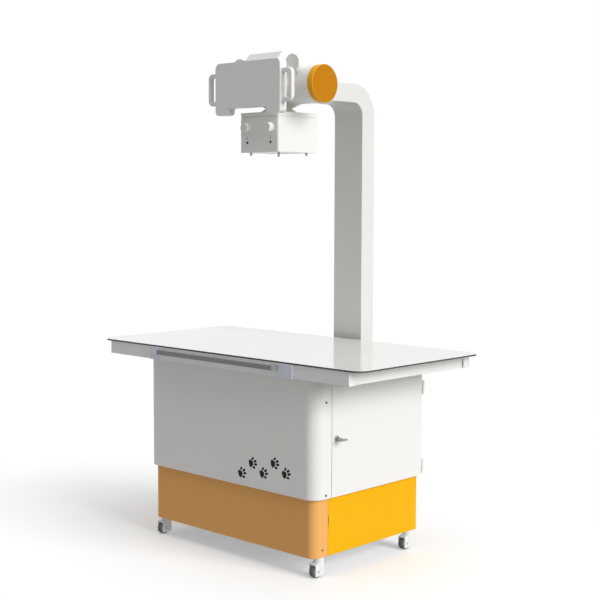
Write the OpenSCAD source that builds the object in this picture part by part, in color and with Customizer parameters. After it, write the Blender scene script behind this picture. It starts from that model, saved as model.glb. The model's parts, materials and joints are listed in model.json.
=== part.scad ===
// Veterinary x-ray table: a wheeled cabinet with a sliding tabletop and a detector tray,
// and a goose-neck column that holds a turning tube head with its collimator.
// Millimetres. +Z is up, the operator stands at -Y, and the floor is at Z = 0.
// The origin is on the floor under the middle of the machine.

/* [Tabletop] */
// Length of the tabletop
table_l = 1300; // [1150:5:1500]
// Depth of the tabletop
table_d = 645; // [600:5:750]
// Thickness of the tabletop sheet
table_t = 7; // [4:0.5:12]
// Height of the tabletop surface above the floor
table_h = 726; // [710:1:780]
// Corner radius of the tabletop
table_r = 45; // [20:1:90]

/* [Table rails] */
// Distance from each end of the tabletop to the end of a rail
rail_inset = 49; // [30:1:60]
// Distance from the long edges of the tabletop to the outside of a rail
rail_setback = 4; // [1:0.5:12]
// Height of a rail
rail_h = 46; // [42:1:60]
// Depth of a rail, from its web to the tips of its flanges
rail_depth = 32; // [27:1:34]
// Wall of a rail
rail_wall = 3; // [2:0.5:4]
// Distance from the end of a rail to the end plate
end_plate_inset = 8; // [4:1:20]
// How far the tabletop slides each way from the middle
float_travel = 100; // [60:5:104]
// Diameter of a rail roller
roller_d = 38; // [30:1:39]
// Width of a rail roller
roller_w = 18; // [12:1:20]

/* [Cabinet] */
// Width of the cabinet
cab_w = 848; // [800:2:860]
// Distance from the front edge of the tabletop to the front of the cabinet
cab_front_gap = 39; // [38:1:44]
// Distance from the rear edge of the tabletop to the rear of the cabinet
cab_rear_gap = 44; // [41:1:56]
// Outside radius of the front corners of the cabinet
cab_r = 45; // [25:1:60]
// Thickness of the cabinet sheet
sheet_t = 2; // [1:0.5:2.5]
// Depth of the folded edges of the side panels and the front panel
panel_depth = 17.5; // [16.5:0.5:22]
// Depth of the folded edges of the rear panel
rear_depth = 8.5; // [8:0.5:10]
// Height of the lower edge of the white panels
panel_bottom = 268; // [220:1:320]
// Distance from the front of the cabinet to the side seam
seam_d = 82; // [76:1:100]
// Width of the open joints between panels
joint_w = 2; // [1:0.5:3]
// Height of the lower edge of the orange skirt
skirt_bottom = 68; // [66:0.5:69]
// Inset of the skirt from the front of the cabinet
skirt_front_inset = 13; // [8:0.5:16]
// Inset of the skirt from the sides of the cabinet
skirt_side_inset = 15; // [12:0.5:15]
// Inset of the skirt from the rear of the cabinet
skirt_rear_inset = 6; // [4:0.5:7]
// Opening angle of the door
door_open = 110; // [90:5:120]

/* [Casters] */
// Diameter of a caster wheel
wheel_d = 44; // [40:1:46]
// Width of a caster wheel
wheel_w = 22; // [18:1:26]
// Height from the floor to the underside of the base plate
caster_h = 72; // [70:0.5:76]
// Distance from a wheel's axle to its swivel axis
caster_trail = 16; // [10:1:20]
// Distance from the side of the cabinet to a swivel axis
caster_side_inset = 33; // [33:0.5:45]
// Distance from the front of the cabinet to the front swivel axes
caster_front_inset = 56; // [50:1:80]
// Distance from the rear of the cabinet to the rear swivel axes
caster_rear_inset = 36; // [36:1:60]

/* [Column] */
// Width of the column and its arm
column_w = 141; // [120:1:160]
// Depth of the column and thickness of its arm
column_d = 70; // [60:1:80]
// Wall of the column
column_wall = 4; // [3:0.5:6]
// Distance from the rear edge of the tabletop to the column
column_gap = 30.5; // [20:0.5:50]
// Height of the lower end of the column
column_bottom = 90; // [84:1:140]
// Distance from the x-ray tube's axis down to the underside of the arm
arm_drop = 40; // [34:1:44]
// Inside radius of the goose-neck bend
bend_r = 48; // [30:1:90]

/* [Tube head] */
// Height of the x-ray tube's axis
tube_h = 1656; // [1500:1:1800]
// Distance from the front edge of the tabletop to the beam axis
beam_y = 299; // [290:1:305]
// Diameter of the tube housing
housing_d = 132; // [120:1:136]
// Length of the tube housing without its end caps
housing_l = 400; // [370:2:440]
// Wall of the tube housing
housing_wall = 5; // [3:0.5:8]
// Thickness of an end cap
cap_t = 24; // [12:1:30]
// Distance from the front edge of the tabletop to the rear of the head
arm_end_y = 400; // [396:1:410]
// Turning range of the head each way
head_turn = 90; // [45:5:90]

/* [Control panel] */
// Width of the control panel
console_w = 322; // [300:2:340]
// Distance from the x-ray tube's axis up to the control panel's upper edge
console_rise = 79; // [70:1:88]
// Height of the control panel between its feet
console_h = 159; // [150:1:165]
// How far the feet hang below the lower edge
lobe_drop = 24; // [15:1:26]
// Width of a foot
lobe_w = 66; // [50:1:70]
// Thickness of the control panel
console_t = 33; // [25:1:40]
// Distance from the front edge of the tabletop to the face of the control panel
console_y = 140; // [135:1:145]
// Wall of the control panel's case
console_wall = 3; // [2:0.5:4]
// Corner radius of the control panel
console_r = 20; // [12:1:24]
// Reach of a side handle
handle_reach = 48; // [44:1:56]
// Height of a side handle
handle_h = 115; // [100:1:125]
// Thickness of a side handle's bar
handle_bar = 16; // [12:1:18]
// Depth of a side handle's bar
handle_depth = 17; // [14:1:20]

/* [Collimator] */
// Width of the collimator
coll_w = 192; // [175:1:205]
// Depth of the collimator
coll_d = 200; // [185:1:204]
// Height of the collimator
coll_h = 140; // [130:1:160]
// Distance from the x-ray tube's axis down to the collimator's upper face
coll_drop = 94; // [90:1:104]
// Height of the collimator's cover
coll_cover_h = 16; // [12:1:22]
// Diameter of a setting knob
knob_d = 36; // [28:1:40]
// Depth of a setting knob
knob_t = 20; // [12:1:26]
// Distance between the setting knobs
knob_pitch = 116; // [100:1:125]

/* [Detector tray] */
// Width of the flat-panel detector
detector_w = 460; // [430:1:465]
// Depth of the flat-panel detector
detector_d = 384; // [350:1:430]
// Thickness of the flat-panel detector
detector_t = 15; // [13:0.5:15]
// How far the tray pulls out
tray_travel = 400; // [300:10:400]
// Width of the tray's front plate
tray_front_w = 720; // [712:2:760]
// Thickness of the tray's front plate
tray_front_t = 8; // [5:0.5:10]
// Length of the tray handle
tray_handle_l = 590; // [400:5:620]
// Reach of the tray handle from the front plate
tray_handle_reach = 28; // [25:1:36]
// Height of the tray handle's bar
tray_handle_h = 16; // [12:1:20]

/* [Hidden] */
$fn = 72;

// Clearances and the overrun of a cut
cut = 1;
slide_gap = 0.3;
run_gap = 0.05;
seat_gap = 0.2;

// Colours
white = "#f4f3ef";
table_white = "#f2f2ee";
grey = "#a8a7a3";
blue_grey = "#9a9ba8";
dark = "#626262";
orange = "#f7a013";
skirt_orange = "#f6ab4d";
steel = "#b9bcc0";
rubber = "#55554f";
glass = "#cfe0e6";
clear = "#e4e6e0";

// Places that the sizes above fix
tray_proud = tray_handle_reach + tray_front_t + slide_gap - rail_setback;
overall_d = tray_proud + table_d + column_gap + column_d;
table_y0 = tray_proud - overall_d / 2;
table_y1 = table_y0 + table_d;
table_z = table_h - table_t;
rail_z = table_z - rail_h;
rail_half = table_l / 2 - rail_inset;
front_web_y = table_y0 + rail_setback;
rear_web_y = table_y1 - rail_setback;
cab_y0 = table_y0 + cab_front_gap;
cab_y1 = table_y1 - cab_rear_gap;
seam_y = cab_y0 + seam_d;
deck_t = 2.7;
deck_top = rail_z - slide_gap;
deck_z = deck_top - deck_t;
panel_top = deck_z - slide_gap;
post_x = cab_w / 2 - panel_depth;
pan_t = 4;
pan_z = caster_h + pan_t;
column_y = table_y1 + column_gap;
beam = table_y0 + beam_y;
arm_y = table_y0 + arm_end_y;
arm_h = tube_h - arm_drop;
arm_z = arm_h + column_d / 2;
console_face = table_y0 + console_y;
console_back = console_face + console_t;
console_top = tube_h + console_rise;
console_bottom = console_top - console_h;
housing_r = housing_d / 2;
coll_y0 = beam - coll_d / 2;
coll_top = tube_h - coll_drop;
coll_bottom = coll_top - coll_h;

// Plan of the cabinet, drawn in from its outside, up to a given depth
module cabinet_plan(side_in, front_in, y_end, r) {
    x = cab_w / 2 - side_in;
    y = cab_y0 + front_in;
    difference() {
        union() {
            translate([-x, y + r]) square([2 * x, y_end - y - r]);
            translate([-x + r, y]) square([2 * (x - r), 2 * r]);
            for (side = [-1, 1]) translate([side * (x - r), y + r]) circle(r = r);
        }
        translate([-x - cut, y_end]) square([2 * (x + cut), 2 * r + cut]);
    }
}

// A rectangle with rounded corners about the origin
module rounded_plan(w, d, r) {
    translate([-w / 2, -d / 2 + r]) square([w, d - 2 * r]);
    translate([-w / 2 + r, -d / 2]) square([w - 2 * r, d]);
    for (sx = [-1, 1], sy = [-1, 1]) translate([sx * (w / 2 - r), sy * (d / 2 - r)]) circle(r = r);
}

// A sheet panel with folded edges, face outwards along +X, from y0 to y1 and z0 to z1
module folded_panel(x_face, y0, y1, z0, z1, depth) {
    difference() {
        translate([x_face - depth, y0, z0]) cube([depth, y1 - y0, z1 - z0]);
        translate([x_face - depth - cut, y0 + sheet_t, z0 + sheet_t])
            cube([depth + cut - sheet_t, y1 - y0 - 2 * sheet_t, z1 - z0 - 2 * sheet_t]);
    }
}

// Base plate: a steel pan with a folded rim at its front and rear, which carries the posts
pan_rim = 25;
pan_notch = 52;
pan_gap = 0.5;
pan_x = cab_w / 2 - skirt_side_inset - sheet_t - pan_gap;
pan_y0 = cab_y0 + skirt_front_inset + sheet_t + pan_gap;
pan_y1 = cab_y1 - skirt_rear_inset - sheet_t - pan_gap;
module pan_plan() {
    cabinet_plan(skirt_side_inset + sheet_t + pan_gap, skirt_front_inset + sheet_t + pan_gap,
        pan_y1, cab_r - skirt_side_inset);
}
module floor_pan() {
    color(steel) union() {
        translate([0, 0, caster_h]) linear_extrude(pan_t) pan_plan();
        for (y = [pan_y0, pan_y1 - sheet_t])
            translate([-pan_x + pan_notch, y, caster_h])
                cube([2 * (pan_x - pan_notch), sheet_t, pan_t + pan_rim]);
    }
}

// Four folded corner posts between the base plate and the deck
post_leg_x = 40;
post_leg_y = 46;
post_t = 3;
post_lead = 36;
front_post_y = seam_y - post_lead;
module corner_posts() {
    color(steel) for (side = [-1, 1], rear = [0, 1]) {
        y0 = rear == 1 ? pan_y1 - post_leg_y : front_post_y;
        wall_y = rear == 1 ? pan_y1 - post_t : front_post_y;
        translate([0, 0, pan_z]) {
            translate([side > 0 ? post_x - post_t : -post_x, y0, 0])
                cube([post_t, post_leg_y, deck_z - pan_z]);
            translate([side > 0 ? post_x - post_leg_x : -post_x, wall_y, 0])
                cube([post_leg_x, post_t, deck_z - pan_z]);
        }
    }
}

// Top plate of the cabinet, under the sliding table
module deck() {
    color(steel) translate([0, 0, deck_z]) linear_extrude(deck_t)
        cabinet_plan(0, 0, cab_y1, cab_r);
}

// White front panel, wrapped round both front corners to the seams
module front_panel() {
    h = panel_top - panel_bottom;
    color(white) difference() {
        translate([0, 0, panel_bottom]) linear_extrude(h)
            cabinet_plan(0, 0, seam_y, cab_r);
        translate([0, 0, panel_bottom + sheet_t]) linear_extrude(h - 2 * sheet_t)
            cabinet_plan(sheet_t, sheet_t, seam_y - sheet_t, cab_r - sheet_t);
        translate([0, 0, panel_bottom - cut]) linear_extrude(h + 2 * cut)
            cabinet_plan(panel_depth, skirt_front_inset + sheet_t, seam_y + cut,
                cab_r - panel_depth);
    }
}

// Rear panel with two rows of cooling slots and the opening for the mains inlet
vent_n = 9;
vent_w = 6;
vent_l = 70;
vent_pitch = 16;
inlet_w = 50;
inlet_h = 30;
inlet_x = -250;
inlet_lift = 56;
inlet_z = panel_bottom + inlet_lift;
module rear_panel() {
    x = post_x - seat_gap;
    h = panel_top - panel_bottom;
    color(white) difference() {
        translate([-x, cab_y1 - rear_depth, panel_bottom]) cube([2 * x, rear_depth, h]);
        translate([-x + sheet_t, cab_y1 - rear_depth - cut, panel_bottom + sheet_t])
            cube([2 * (x - sheet_t), rear_depth + cut - sheet_t, h - 2 * sheet_t]);
        for (side = [-1, 1], i = [0 : vent_n - 1])
            translate([side * post_x / 2 + (i - (vent_n - 1) / 2) * vent_pitch - vent_w / 2,
                    cab_y1 - sheet_t - cut, panel_top - 2 * vent_l])
                cube([vent_w, sheet_t + 2 * cut, vent_l]);
        translate([inlet_x - inlet_w / 2, cab_y1 - sheet_t - cut, inlet_z - inlet_h / 2])
            cube([inlet_w, sheet_t + 2 * cut, inlet_h]);
    }
}

// Fixed side panel on the left
fold_gap = 1.5;
side_depth = panel_depth - fold_gap;
door_y0 = seam_y + joint_w;
module left_panel() {
    color(white) mirror([1, 0, 0])
        folded_panel(cab_w / 2, door_y0, cab_y1, panel_bottom, panel_top, side_depth);
}

// Door on the right, with the sockets of its lift-off hinges and the hole for the lock
hinge_r = 5;
hinge_pin_r = 2.5;
hinge_h = 50;
hinge_lift = 32;
hinge_drop = 84;
hinge_zs = [panel_bottom + hinge_lift, panel_top - hinge_drop];
hinge_leaf = 1.5;
hinge_x = cab_w / 2;
hinge_y = cab_y1 + hinge_r + hinge_leaf;
lock_drop = 206;
lock_z = panel_top - lock_drop;
lock_setback = 25;
lock_y = seam_y + lock_setback;
lock_r = 9;
module door() {
    color(white) difference() {
        union() {
            folded_panel(cab_w / 2, door_y0, cab_y1, panel_bottom, panel_top, side_depth);
            for (z = hinge_zs) {
                translate([hinge_x, hinge_y, z + slide_gap / 2])
                    cylinder(r = hinge_r, h = hinge_h / 2 - slide_gap / 2);
                translate([hinge_x - side_depth, cab_y1 - sheet_t / 2, z + slide_gap / 2])
                    cube([side_depth, hinge_leaf + sheet_t / 2, hinge_h / 2 - slide_gap / 2]);
                translate([hinge_x - hinge_r, cab_y1, z + slide_gap / 2])
                    cube([hinge_r, hinge_r + hinge_leaf, hinge_h / 2 - slide_gap / 2]);
            }
        }
        for (z = hinge_zs)
            translate([hinge_x, hinge_y, z - cut])
                cylinder(r = hinge_pin_r + run_gap, h = hinge_h / 2 - hinge_leaf + cut);
        translate([cab_w / 2 - sheet_t - cut, lock_y, lock_z]) rotate([0, 90, 0])
            cylinder(r = lock_r, h = sheet_t + 2 * cut);
    }
}

// Fixed halves of the door hinges: knuckle, pin and a leaf that ends on the rear panel
leaf_reach = 34;
module door_hinges() {
    color(steel) for (z = hinge_zs) {
        leaf_y = cab_y1 + hinge_leaf + slide_gap;
        translate([hinge_x, hinge_y, z - hinge_h / 2]) cylinder(r = hinge_r, h = hinge_h / 2);
        translate([hinge_x, hinge_y, z - cut])
            cylinder(r = hinge_pin_r, h = hinge_h / 2 - 2 * hinge_leaf);
        translate([hinge_x - leaf_reach, leaf_y, z - hinge_h / 2])
            cube([leaf_reach, hinge_leaf, hinge_h / 2]);
        translate([hinge_x - leaf_reach, cab_y1, z - hinge_h / 2])
            cube([leaf_reach - panel_depth - cut, hinge_leaf + 2 * slide_gap, hinge_h / 2]);
    }
}

// Cam lock: the barrel with its collar and nut in the door
plug_r = 5.5;
collar_r = 12;
collar_t = 3;
nut_lip = 1;
barrel_l = panel_depth + post_t + pan_gap;
module cam_lock() {
    color(steel) difference() {
        union() {
            translate([cab_w / 2 - barrel_l, lock_y, lock_z]) rotate([0, 90, 0])
                cylinder(r = lock_r - seat_gap, h = barrel_l);
            translate([cab_w / 2 + seat_gap / 2, lock_y, lock_z]) rotate([0, 90, 0])
                cylinder(r1 = collar_r, r2 = collar_r - collar_t / 2, h = collar_t);
            translate([cab_w / 2 - sheet_t - collar_t - seat_gap, lock_y, lock_z])
                rotate([0, 90, 0]) cylinder(r = collar_r + nut_lip, h = collar_t, $fn = 6);
            translate([cab_w / 2 - cut, lock_y, lock_z]) rotate([0, 90, 0])
                cylinder(r = lock_r - seat_gap, h = 2 * cut);
        }
        translate([cab_w / 2 - barrel_l - cut, lock_y, lock_z]) rotate([0, 90, 0])
            cylinder(r = plug_r + run_gap, h = barrel_l + collar_t + 2 * cut);
    }
}

// Lock plug with its cam inside the door and its wing handle outside
cam_l = 26;
cam_t = 3;
cam_w = 14;
key_reach = 36;
wing_w = 30;
wing_h = 14;
wing_t = 5;
module lock_key() {
    color(grey) translate([cab_w / 2, lock_y, lock_z]) union() {
        translate([-barrel_l - cam_t - slide_gap, 0, 0]) rotate([0, 90, 0])
            cylinder(r = plug_r, h = barrel_l + cam_t + slide_gap + key_reach - wing_h);
        translate([-barrel_l - cam_t - slide_gap, -cam_w / 2, -cam_w / 2])
            cube([cam_t, cam_w, cam_l + cam_w / 2]);
        translate([key_reach - wing_h - cut, -wing_w / 2, -wing_t / 2])
            cube([wing_h + cut, wing_w, wing_t]);
    }
}

// Orange skirt, front half: wraps both front corners to the seams
module front_skirt() {
    r = cab_r - skirt_front_inset;
    color(skirt_orange) translate([0, 0, skirt_bottom])
        linear_extrude(panel_bottom - seat_gap - skirt_bottom) difference() {
            cabinet_plan(skirt_side_inset, skirt_front_inset, seam_y, r);
            cabinet_plan(skirt_side_inset + sheet_t, skirt_front_inset + sheet_t, seam_y + cut,
                r - sheet_t);
        }
}

// Orange skirt, rear half: both flat sides and the rear, with a finger notch in each front edge
notch_w = 3;
notch_h = 31;
notch_drop = 96;
module rear_skirt() {
    x = cab_w / 2 - skirt_side_inset;
    y1 = cab_y1 - skirt_rear_inset;
    y0 = seam_y + joint_w / 2;
    color(orange) difference() {
        translate([0, 0, skirt_bottom])
            linear_extrude(panel_bottom - seat_gap - skirt_bottom) difference() {
                translate([-x, y0]) square([2 * x, y1 - y0]);
                translate([-x + sheet_t, y0 - cut])
                    square([2 * (x - sheet_t), y1 - y0 + cut - sheet_t]);
            }
        translate([-x - cut, y0 - cut, panel_bottom - notch_drop])
            cube([2 * (x + cut), notch_w + cut, notch_h]);
    }
}

// Power unit inside the cabinet: a vented case whose mains inlet reaches the rear panel
power_w = 240;
power_d = 190;
power_h = 130;
power_foot = 8;
power_fin = 3;
power_slots = 8;
module power_unit() {
    x0 = inlet_x - power_w / 2;
    y1 = cab_y1 - rear_depth - inlet_h;
    z1 = inlet_z + power_h / 4;
    color(dark) union() {
        difference() {
            translate([x0, y1 - power_d, z1 - power_h]) cube([power_w, power_d, power_h]);
            for (i = [0 : power_slots - 1])
                translate([x0 + power_w * (i + 1) / (power_slots + 1), y1 - power_d - cut,
                        z1 - power_h * 3 / 4])
                    cube([power_fin, power_fin + cut, power_h / 2]);
        }
        translate([inlet_x - inlet_w / 2 + power_fin, y1 - cut, inlet_z - inlet_h / 2 + power_fin])
            cube([inlet_w - 2 * power_fin, cab_y1 - y1 + cut, inlet_h - 2 * power_fin]);
        for (sx = [0, 1], sy = [0, 1])
            translate([x0 + power_foot + sx * (power_w - 4 * power_foot),
                    y1 - power_d + power_foot + sy * (power_d - 4 * power_foot), pan_z])
                cube([2 * power_foot, 2 * power_foot, z1 - power_h - pan_z + cut]);
    }
}

// Column: a flat box section bent forward into an arm
column_z1 = arm_h - bend_r;
column_ym = column_y + column_d / 2;
module box_section(w, d) {
    translate([-w / 2, -d / 2]) square([w, d]);
}
module column_run(wall) {
    w = column_w - 2 * wall;
    d = column_d - 2 * wall;
    over = wall > 0 ? cut : 0;
    translate([0, column_ym, column_bottom + wall])
        linear_extrude(column_z1 - column_bottom - wall + seat_gap) box_section(w, d);
    translate([0, column_y - bend_r, column_z1]) rotate([0, 90, 0]) rotate([0, 0, 90])
        rotate_extrude(angle = 90)
            translate([bend_r + column_d / 2, 0]) box_section(d, w);
    translate([-w / 2, arm_y - over, arm_h + wall])
        cube([w, column_y - bend_r - arm_y + over + seat_gap, d]);
}
module column() {
    color(grey) difference() {
        column_run(0);
        column_run(column_wall);
    }
}

// Two box brackets that carry the column behind the cabinet
bracket_h = 120;
bracket_lift = 32;
bracket_drop = 60;
bracket_low_z = panel_bottom + bracket_lift;
bracket_high_z = panel_top - bracket_h - bracket_drop;
bracket_w = 100;
bracket_flange = 8;
module column_brackets() {
    color(steel) for (z = [bracket_low_z, bracket_high_z]) difference() {
        union() {
            translate([-bracket_w / 2, cab_y1, z]) cube([bracket_w, column_y - cab_y1, bracket_h]);
            translate([-column_w / 2, cab_y1, z - bracket_flange])
                cube([column_w, bracket_flange, bracket_h + 2 * bracket_flange]);
            translate([-column_w / 2, column_y - bracket_flange, z - bracket_flange])
                cube([column_w, bracket_flange, bracket_h + 2 * bracket_flange]);
        }
        translate([-bracket_w / 2 + bracket_flange, cab_y1 - cut, z + bracket_flange])
            cube([bracket_w - 2 * bracket_flange, column_y - cab_y1 + 2 * cut,
                bracket_h - 2 * bracket_flange]);
    }
}

// Detector tray, its runners, its front plate and handle
tray_wall = 3;
detector_gap = 1;
tray_w = detector_w + 2 * (tray_wall + detector_gap);
tray_d = detector_d + 2 * (tray_wall + detector_gap);
tray_bottom = 2;
tray_headroom = 6;
tray_z = table_z - detector_t - tray_bottom - tray_headroom;
tray_h = detector_t + tray_bottom;
tray_y0 = front_web_y - slide_gap;
tray_bed_y = beam - tray_d / 2;
runner_t = 2;
runner_setback = 10;
tray_flange = 12;
flange_setback = 2;
module tray_runners() {
    x0 = tray_w / 2 + slide_gap;
    y0 = cab_y0 + runner_setback;
    l = tray_bed_y + tray_d - y0;
    color(steel) for (side = [-1, 1]) mirror([side > 0 ? 0 : 1, 0, 0]) {
        translate([x0 + tray_flange, y0, deck_top]) cube([runner_t, l, tray_z + tray_h - deck_top]);
        translate([x0, y0, tray_z - runner_t - slide_gap])
            cube([tray_flange + runner_t, l, runner_t]);
        translate([x0, y0, tray_z + tray_wall + slide_gap])
            cube([tray_flange + runner_t, l, runner_t]);
    }
}

module tray() {
    color(steel) union() {
        difference() {
            translate([-tray_w / 2, tray_y0, tray_z])
                cube([tray_w, tray_bed_y + tray_d - tray_y0, tray_h]);
            translate([-tray_w / 2 + tray_wall, tray_bed_y + tray_wall, tray_z + tray_bottom])
                cube([tray_w - 2 * tray_wall, tray_d - 2 * tray_wall, tray_h]);
            translate([-tray_w / 2 + tray_wall, tray_y0 + tray_wall, tray_z + tray_bottom])
                cube([tray_w - 2 * tray_wall, tray_bed_y - tray_y0 - tray_wall, tray_h]);
        }
        for (side = [-1, 1]) mirror([side > 0 ? 0 : 1, 0, 0])
            translate([tray_w / 2 - cut, cab_y0 + flange_setback, tray_z])
                cube([tray_flange + cut, tray_bed_y + tray_d - cab_y0 - flange_setback, tray_wall]);
    }
}

detector_r = 8;
module detector() {
    color(dark) translate([0, beam, tray_z + tray_bottom])
        linear_extrude(detector_t) rounded_plan(detector_w, detector_d, detector_r);
}

// Front plate of the tray, with a shallow recess where the handle sits
tray_face = tray_y0 - tray_front_t;
front_recess = 1;
front_margin = 4;
module tray_front() {
    w = tray_handle_l + 2 * front_margin;
    color(blue_grey) difference() {
        translate([-tray_front_w / 2, tray_face, rail_z + slide_gap])
            cube([tray_front_w, tray_front_t, rail_h - 2 * slide_gap]);
        translate([-w / 2, tray_face - cut, rail_z])
            cube([w, cut + front_recess, rail_h]);
    }
}

// Bow handle: a bar and two end posts bent from one piece
tray_bar = 10;
tray_post = 14;
tray_bow_r = 7;
tray_handle_drop = 13;
tray_handle_z = table_z - tray_handle_drop;
module tray_handle() {
    x = tray_handle_l / 2;
    y = tray_handle_reach + front_recess;
    color(dark) translate([0, tray_face - tray_handle_reach, tray_handle_z - tray_handle_h / 2])
        linear_extrude(tray_handle_h) difference() {
            union() {
                translate([-x, tray_bow_r]) square([2 * x, y - tray_bow_r]);
                translate([-x + tray_bow_r, 0]) square([2 * (x - tray_bow_r), y]);
                for (side = [-1, 1])
                    translate([side * (x - tray_bow_r), tray_bow_r]) circle(r = tray_bow_r);
            }
            translate([-x + tray_post, tray_bar]) square([2 * (x - tray_post), y]);
        }
}

// Tabletop sheet
module tabletop() {
    x = table_l / 2;
    color(table_white) translate([0, 0, table_z]) linear_extrude(table_t) union() {
        translate([-x, table_y0 + table_r]) square([table_l, table_d - 2 * table_r]);
        translate([-x + table_r, table_y0]) square([table_l - 2 * table_r, table_d]);
        for (sx = [-1, 1], y = [table_y0 + table_r, table_y1 - table_r])
            translate([sx * (x - table_r), y]) circle(r = table_r);
    }
}

// Channel rails with their open sides facing inwards; dir is the way the flanges point
module channel(web_y, dir) {
    y0 = dir > 0 ? web_y : web_y - rail_depth;
    slot_y = dir > 0 ? web_y + rail_wall : web_y - rail_depth - cut;
    difference() {
        translate([-rail_half, y0, rail_z]) cube([2 * rail_half, rail_depth, rail_h]);
        translate([-rail_half - cut, slot_y, rail_z + rail_wall])
            cube([2 * (rail_half + cut), rail_depth - rail_wall + cut, rail_h - 2 * rail_wall]);
    }
}
window_side_gap = 4;
window_gap = 2;
window_w = tray_w + 2 * (tray_flange + float_travel + window_side_gap);
module front_rail() {
    color(grey) difference() {
        channel(front_web_y, 1);
        translate([-window_w / 2, front_web_y - cut, tray_z - window_gap])
            cube([window_w, rail_wall + 2 * cut,
                table_z - rail_wall - tray_z + window_gap]);
    }
}
module rear_rail() {
    color(grey) channel(rear_web_y, -1);
}

// End plates between the rails, each folded inwards under the tabletop
end_flange = 20;
module end_plates() {
    y0 = front_web_y + rail_depth + slide_gap;
    y1 = rear_web_y - rail_depth - slide_gap;
    x = rail_half - end_plate_inset;
    color(white) for (side = [-1, 1]) mirror([side > 0 ? 0 : 1, 0, 0]) {
        translate([x - rail_wall, y0, rail_z]) cube([rail_wall, y1 - y0, rail_h]);
        translate([x - end_flange, y0, table_z - rail_wall])
            cube([end_flange, y1 - y0, rail_wall]);
    }
}

// Rollers that carry the rails, on pins in angle brackets; corner 1 is front left,
// 2 front right, 3 rear left and 4 rear right
roller_setback = 60;
roller_x = cab_w / 2 - roller_setback;
roller_pin_r = 4;
roller_z = table_z - rail_wall - slide_gap - roller_d / 2;
roller_side_gap = 3;
roller_inset = rail_wall + roller_side_gap;
roller_bracket_w = 44;
roller_bracket_t = 3;
roller_foot = 22;
corner_x = [-1, 1, -1, 1];
corner_rear = [0, 0, 1, 1];
module roller(i) {
    y0 = corner_rear[i] == 1 ? rear_web_y - roller_inset : front_web_y + roller_inset + roller_w;
    color(white) translate([corner_x[i] * roller_x, y0, roller_z]) rotate([90, 0, 0])
        rotate_extrude() difference() {
            union() {
                translate([0, cut]) square([roller_d / 2, roller_w - 2 * cut]);
                square([roller_d / 2 - cut, roller_w]);
            }
            translate([-cut, -cut]) square([roller_pin_r + run_gap + cut, roller_w + 2 * cut]);
        }
}
module roller_brackets() {
    color(steel) for (i = [0 : 3]) {
        rear = corner_rear[i] == 1;
        plate_y = rear ? cab_y1 - roller_bracket_t : cab_y0 + slide_gap;
        tip_y = rear ? rear_web_y - roller_inset - slide_gap : front_web_y + roller_inset + slide_gap;
        pin_y = rear ? plate_y : tip_y;
        pin_l = rear ? tip_y - plate_y : plate_y + roller_bracket_t - tip_y;
        foot_y = rear ? cab_y1 - roller_foot : plate_y;
        z1 = roller_z - deck_top;
        translate([corner_x[i] * roller_x, plate_y + roller_bracket_t, deck_top]) rotate([90, 0, 0])
            linear_extrude(roller_bracket_t) {
                polygon([[-roller_bracket_w / 2, 0], [roller_bracket_w / 2, 0],
                    [2 * roller_pin_r, z1], [-2 * roller_pin_r, z1]]);
                translate([0, z1]) circle(r = 2 * roller_pin_r);
            }
        translate([corner_x[i] * roller_x - roller_bracket_w / 2, foot_y, deck_top])
            cube([roller_bracket_w, roller_foot, roller_bracket_t]);
        translate([corner_x[i] * roller_x, pin_y + pin_l, roller_z]) rotate([90, 0, 0])
            cylinder(r = roller_pin_r, h = pin_l);
    }
}

// Bearing block that closes the end of the arm
bearing_r = 20;
bearing_l = 60;
bearing_plate = 8;
bearing_wall = 8;
module head_bearing() {
    color(steel) difference() {
        union() {
            translate([-column_w / 2, arm_y - bearing_plate, arm_h])
                cube([column_w, bearing_plate, column_d]);
            translate([0, arm_y + bearing_l, arm_z]) rotate([90, 0, 0])
                cylinder(r = bearing_r + bearing_wall, h = bearing_l + cut);
        }
        translate([0, arm_y + bearing_l + cut, arm_z]) rotate([90, 0, 0])
            cylinder(r = bearing_r + run_gap, h = bearing_l + bearing_plate + 2 * cut);
    }
}

// Saddle that holds the housing, with its stub shaft in the bearing
saddle_w = 130;
saddle_h = 104;
saddle_back = 10;
saddle_step = 2;
module head_saddle() {
    y1 = arm_y - bearing_plate - slide_gap;
    disc_r = column_d / 2 - saddle_step;
    color(white) difference() {
        union() {
            translate([-saddle_w / 2, beam, tube_h - saddle_h / 2])
                cube([saddle_w, housing_r + saddle_back, saddle_h]);
            translate([0, y1, arm_z]) rotate([90, 0, 0])
                cylinder(r = disc_r, h = y1 - beam - housing_r / 2);
            translate([0, arm_y + bearing_l, arm_z]) rotate([90, 0, 0])
                cylinder(r = bearing_r, h = arm_y + bearing_l - y1 + cut);
        }
        translate([-saddle_w / 2 - cut, beam, tube_h]) rotate([0, 90, 0])
            cylinder(r = housing_r + seat_gap, h = saddle_w + 2 * cut);
    }
}

// Tube housing: a horizontal cylinder with a port for the beam below
port_r = 30;
module tube_housing() {
    color(white) difference() {
        translate([-housing_l / 2, beam, tube_h]) rotate([0, 90, 0])
            cylinder(r = housing_r, h = housing_l);
        translate([-housing_l / 2 - cut, beam, tube_h]) rotate([0, 90, 0])
            cylinder(r = housing_r - housing_wall, h = housing_l + 2 * cut);
        translate([0, beam, tube_h - housing_d]) cylinder(r = port_r, h = housing_d);
    }
}

// Orange end caps, each with a spigot inside the housing
cap_edge = 2;
cap_spigot = 12;
module end_cap(side) {
    r = housing_r;
    color(orange) translate([side * housing_l / 2, beam, tube_h]) rotate([0, side * 90, 0])
        rotate_extrude() polygon([
            [0, -cap_spigot], [r - housing_wall - seat_gap, -cap_spigot],
            [r - housing_wall - seat_gap, 0], [r, 0], [r, cap_t - cap_edge],
            [r - cap_edge, cap_t], [0, cap_t]]);
}

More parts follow.
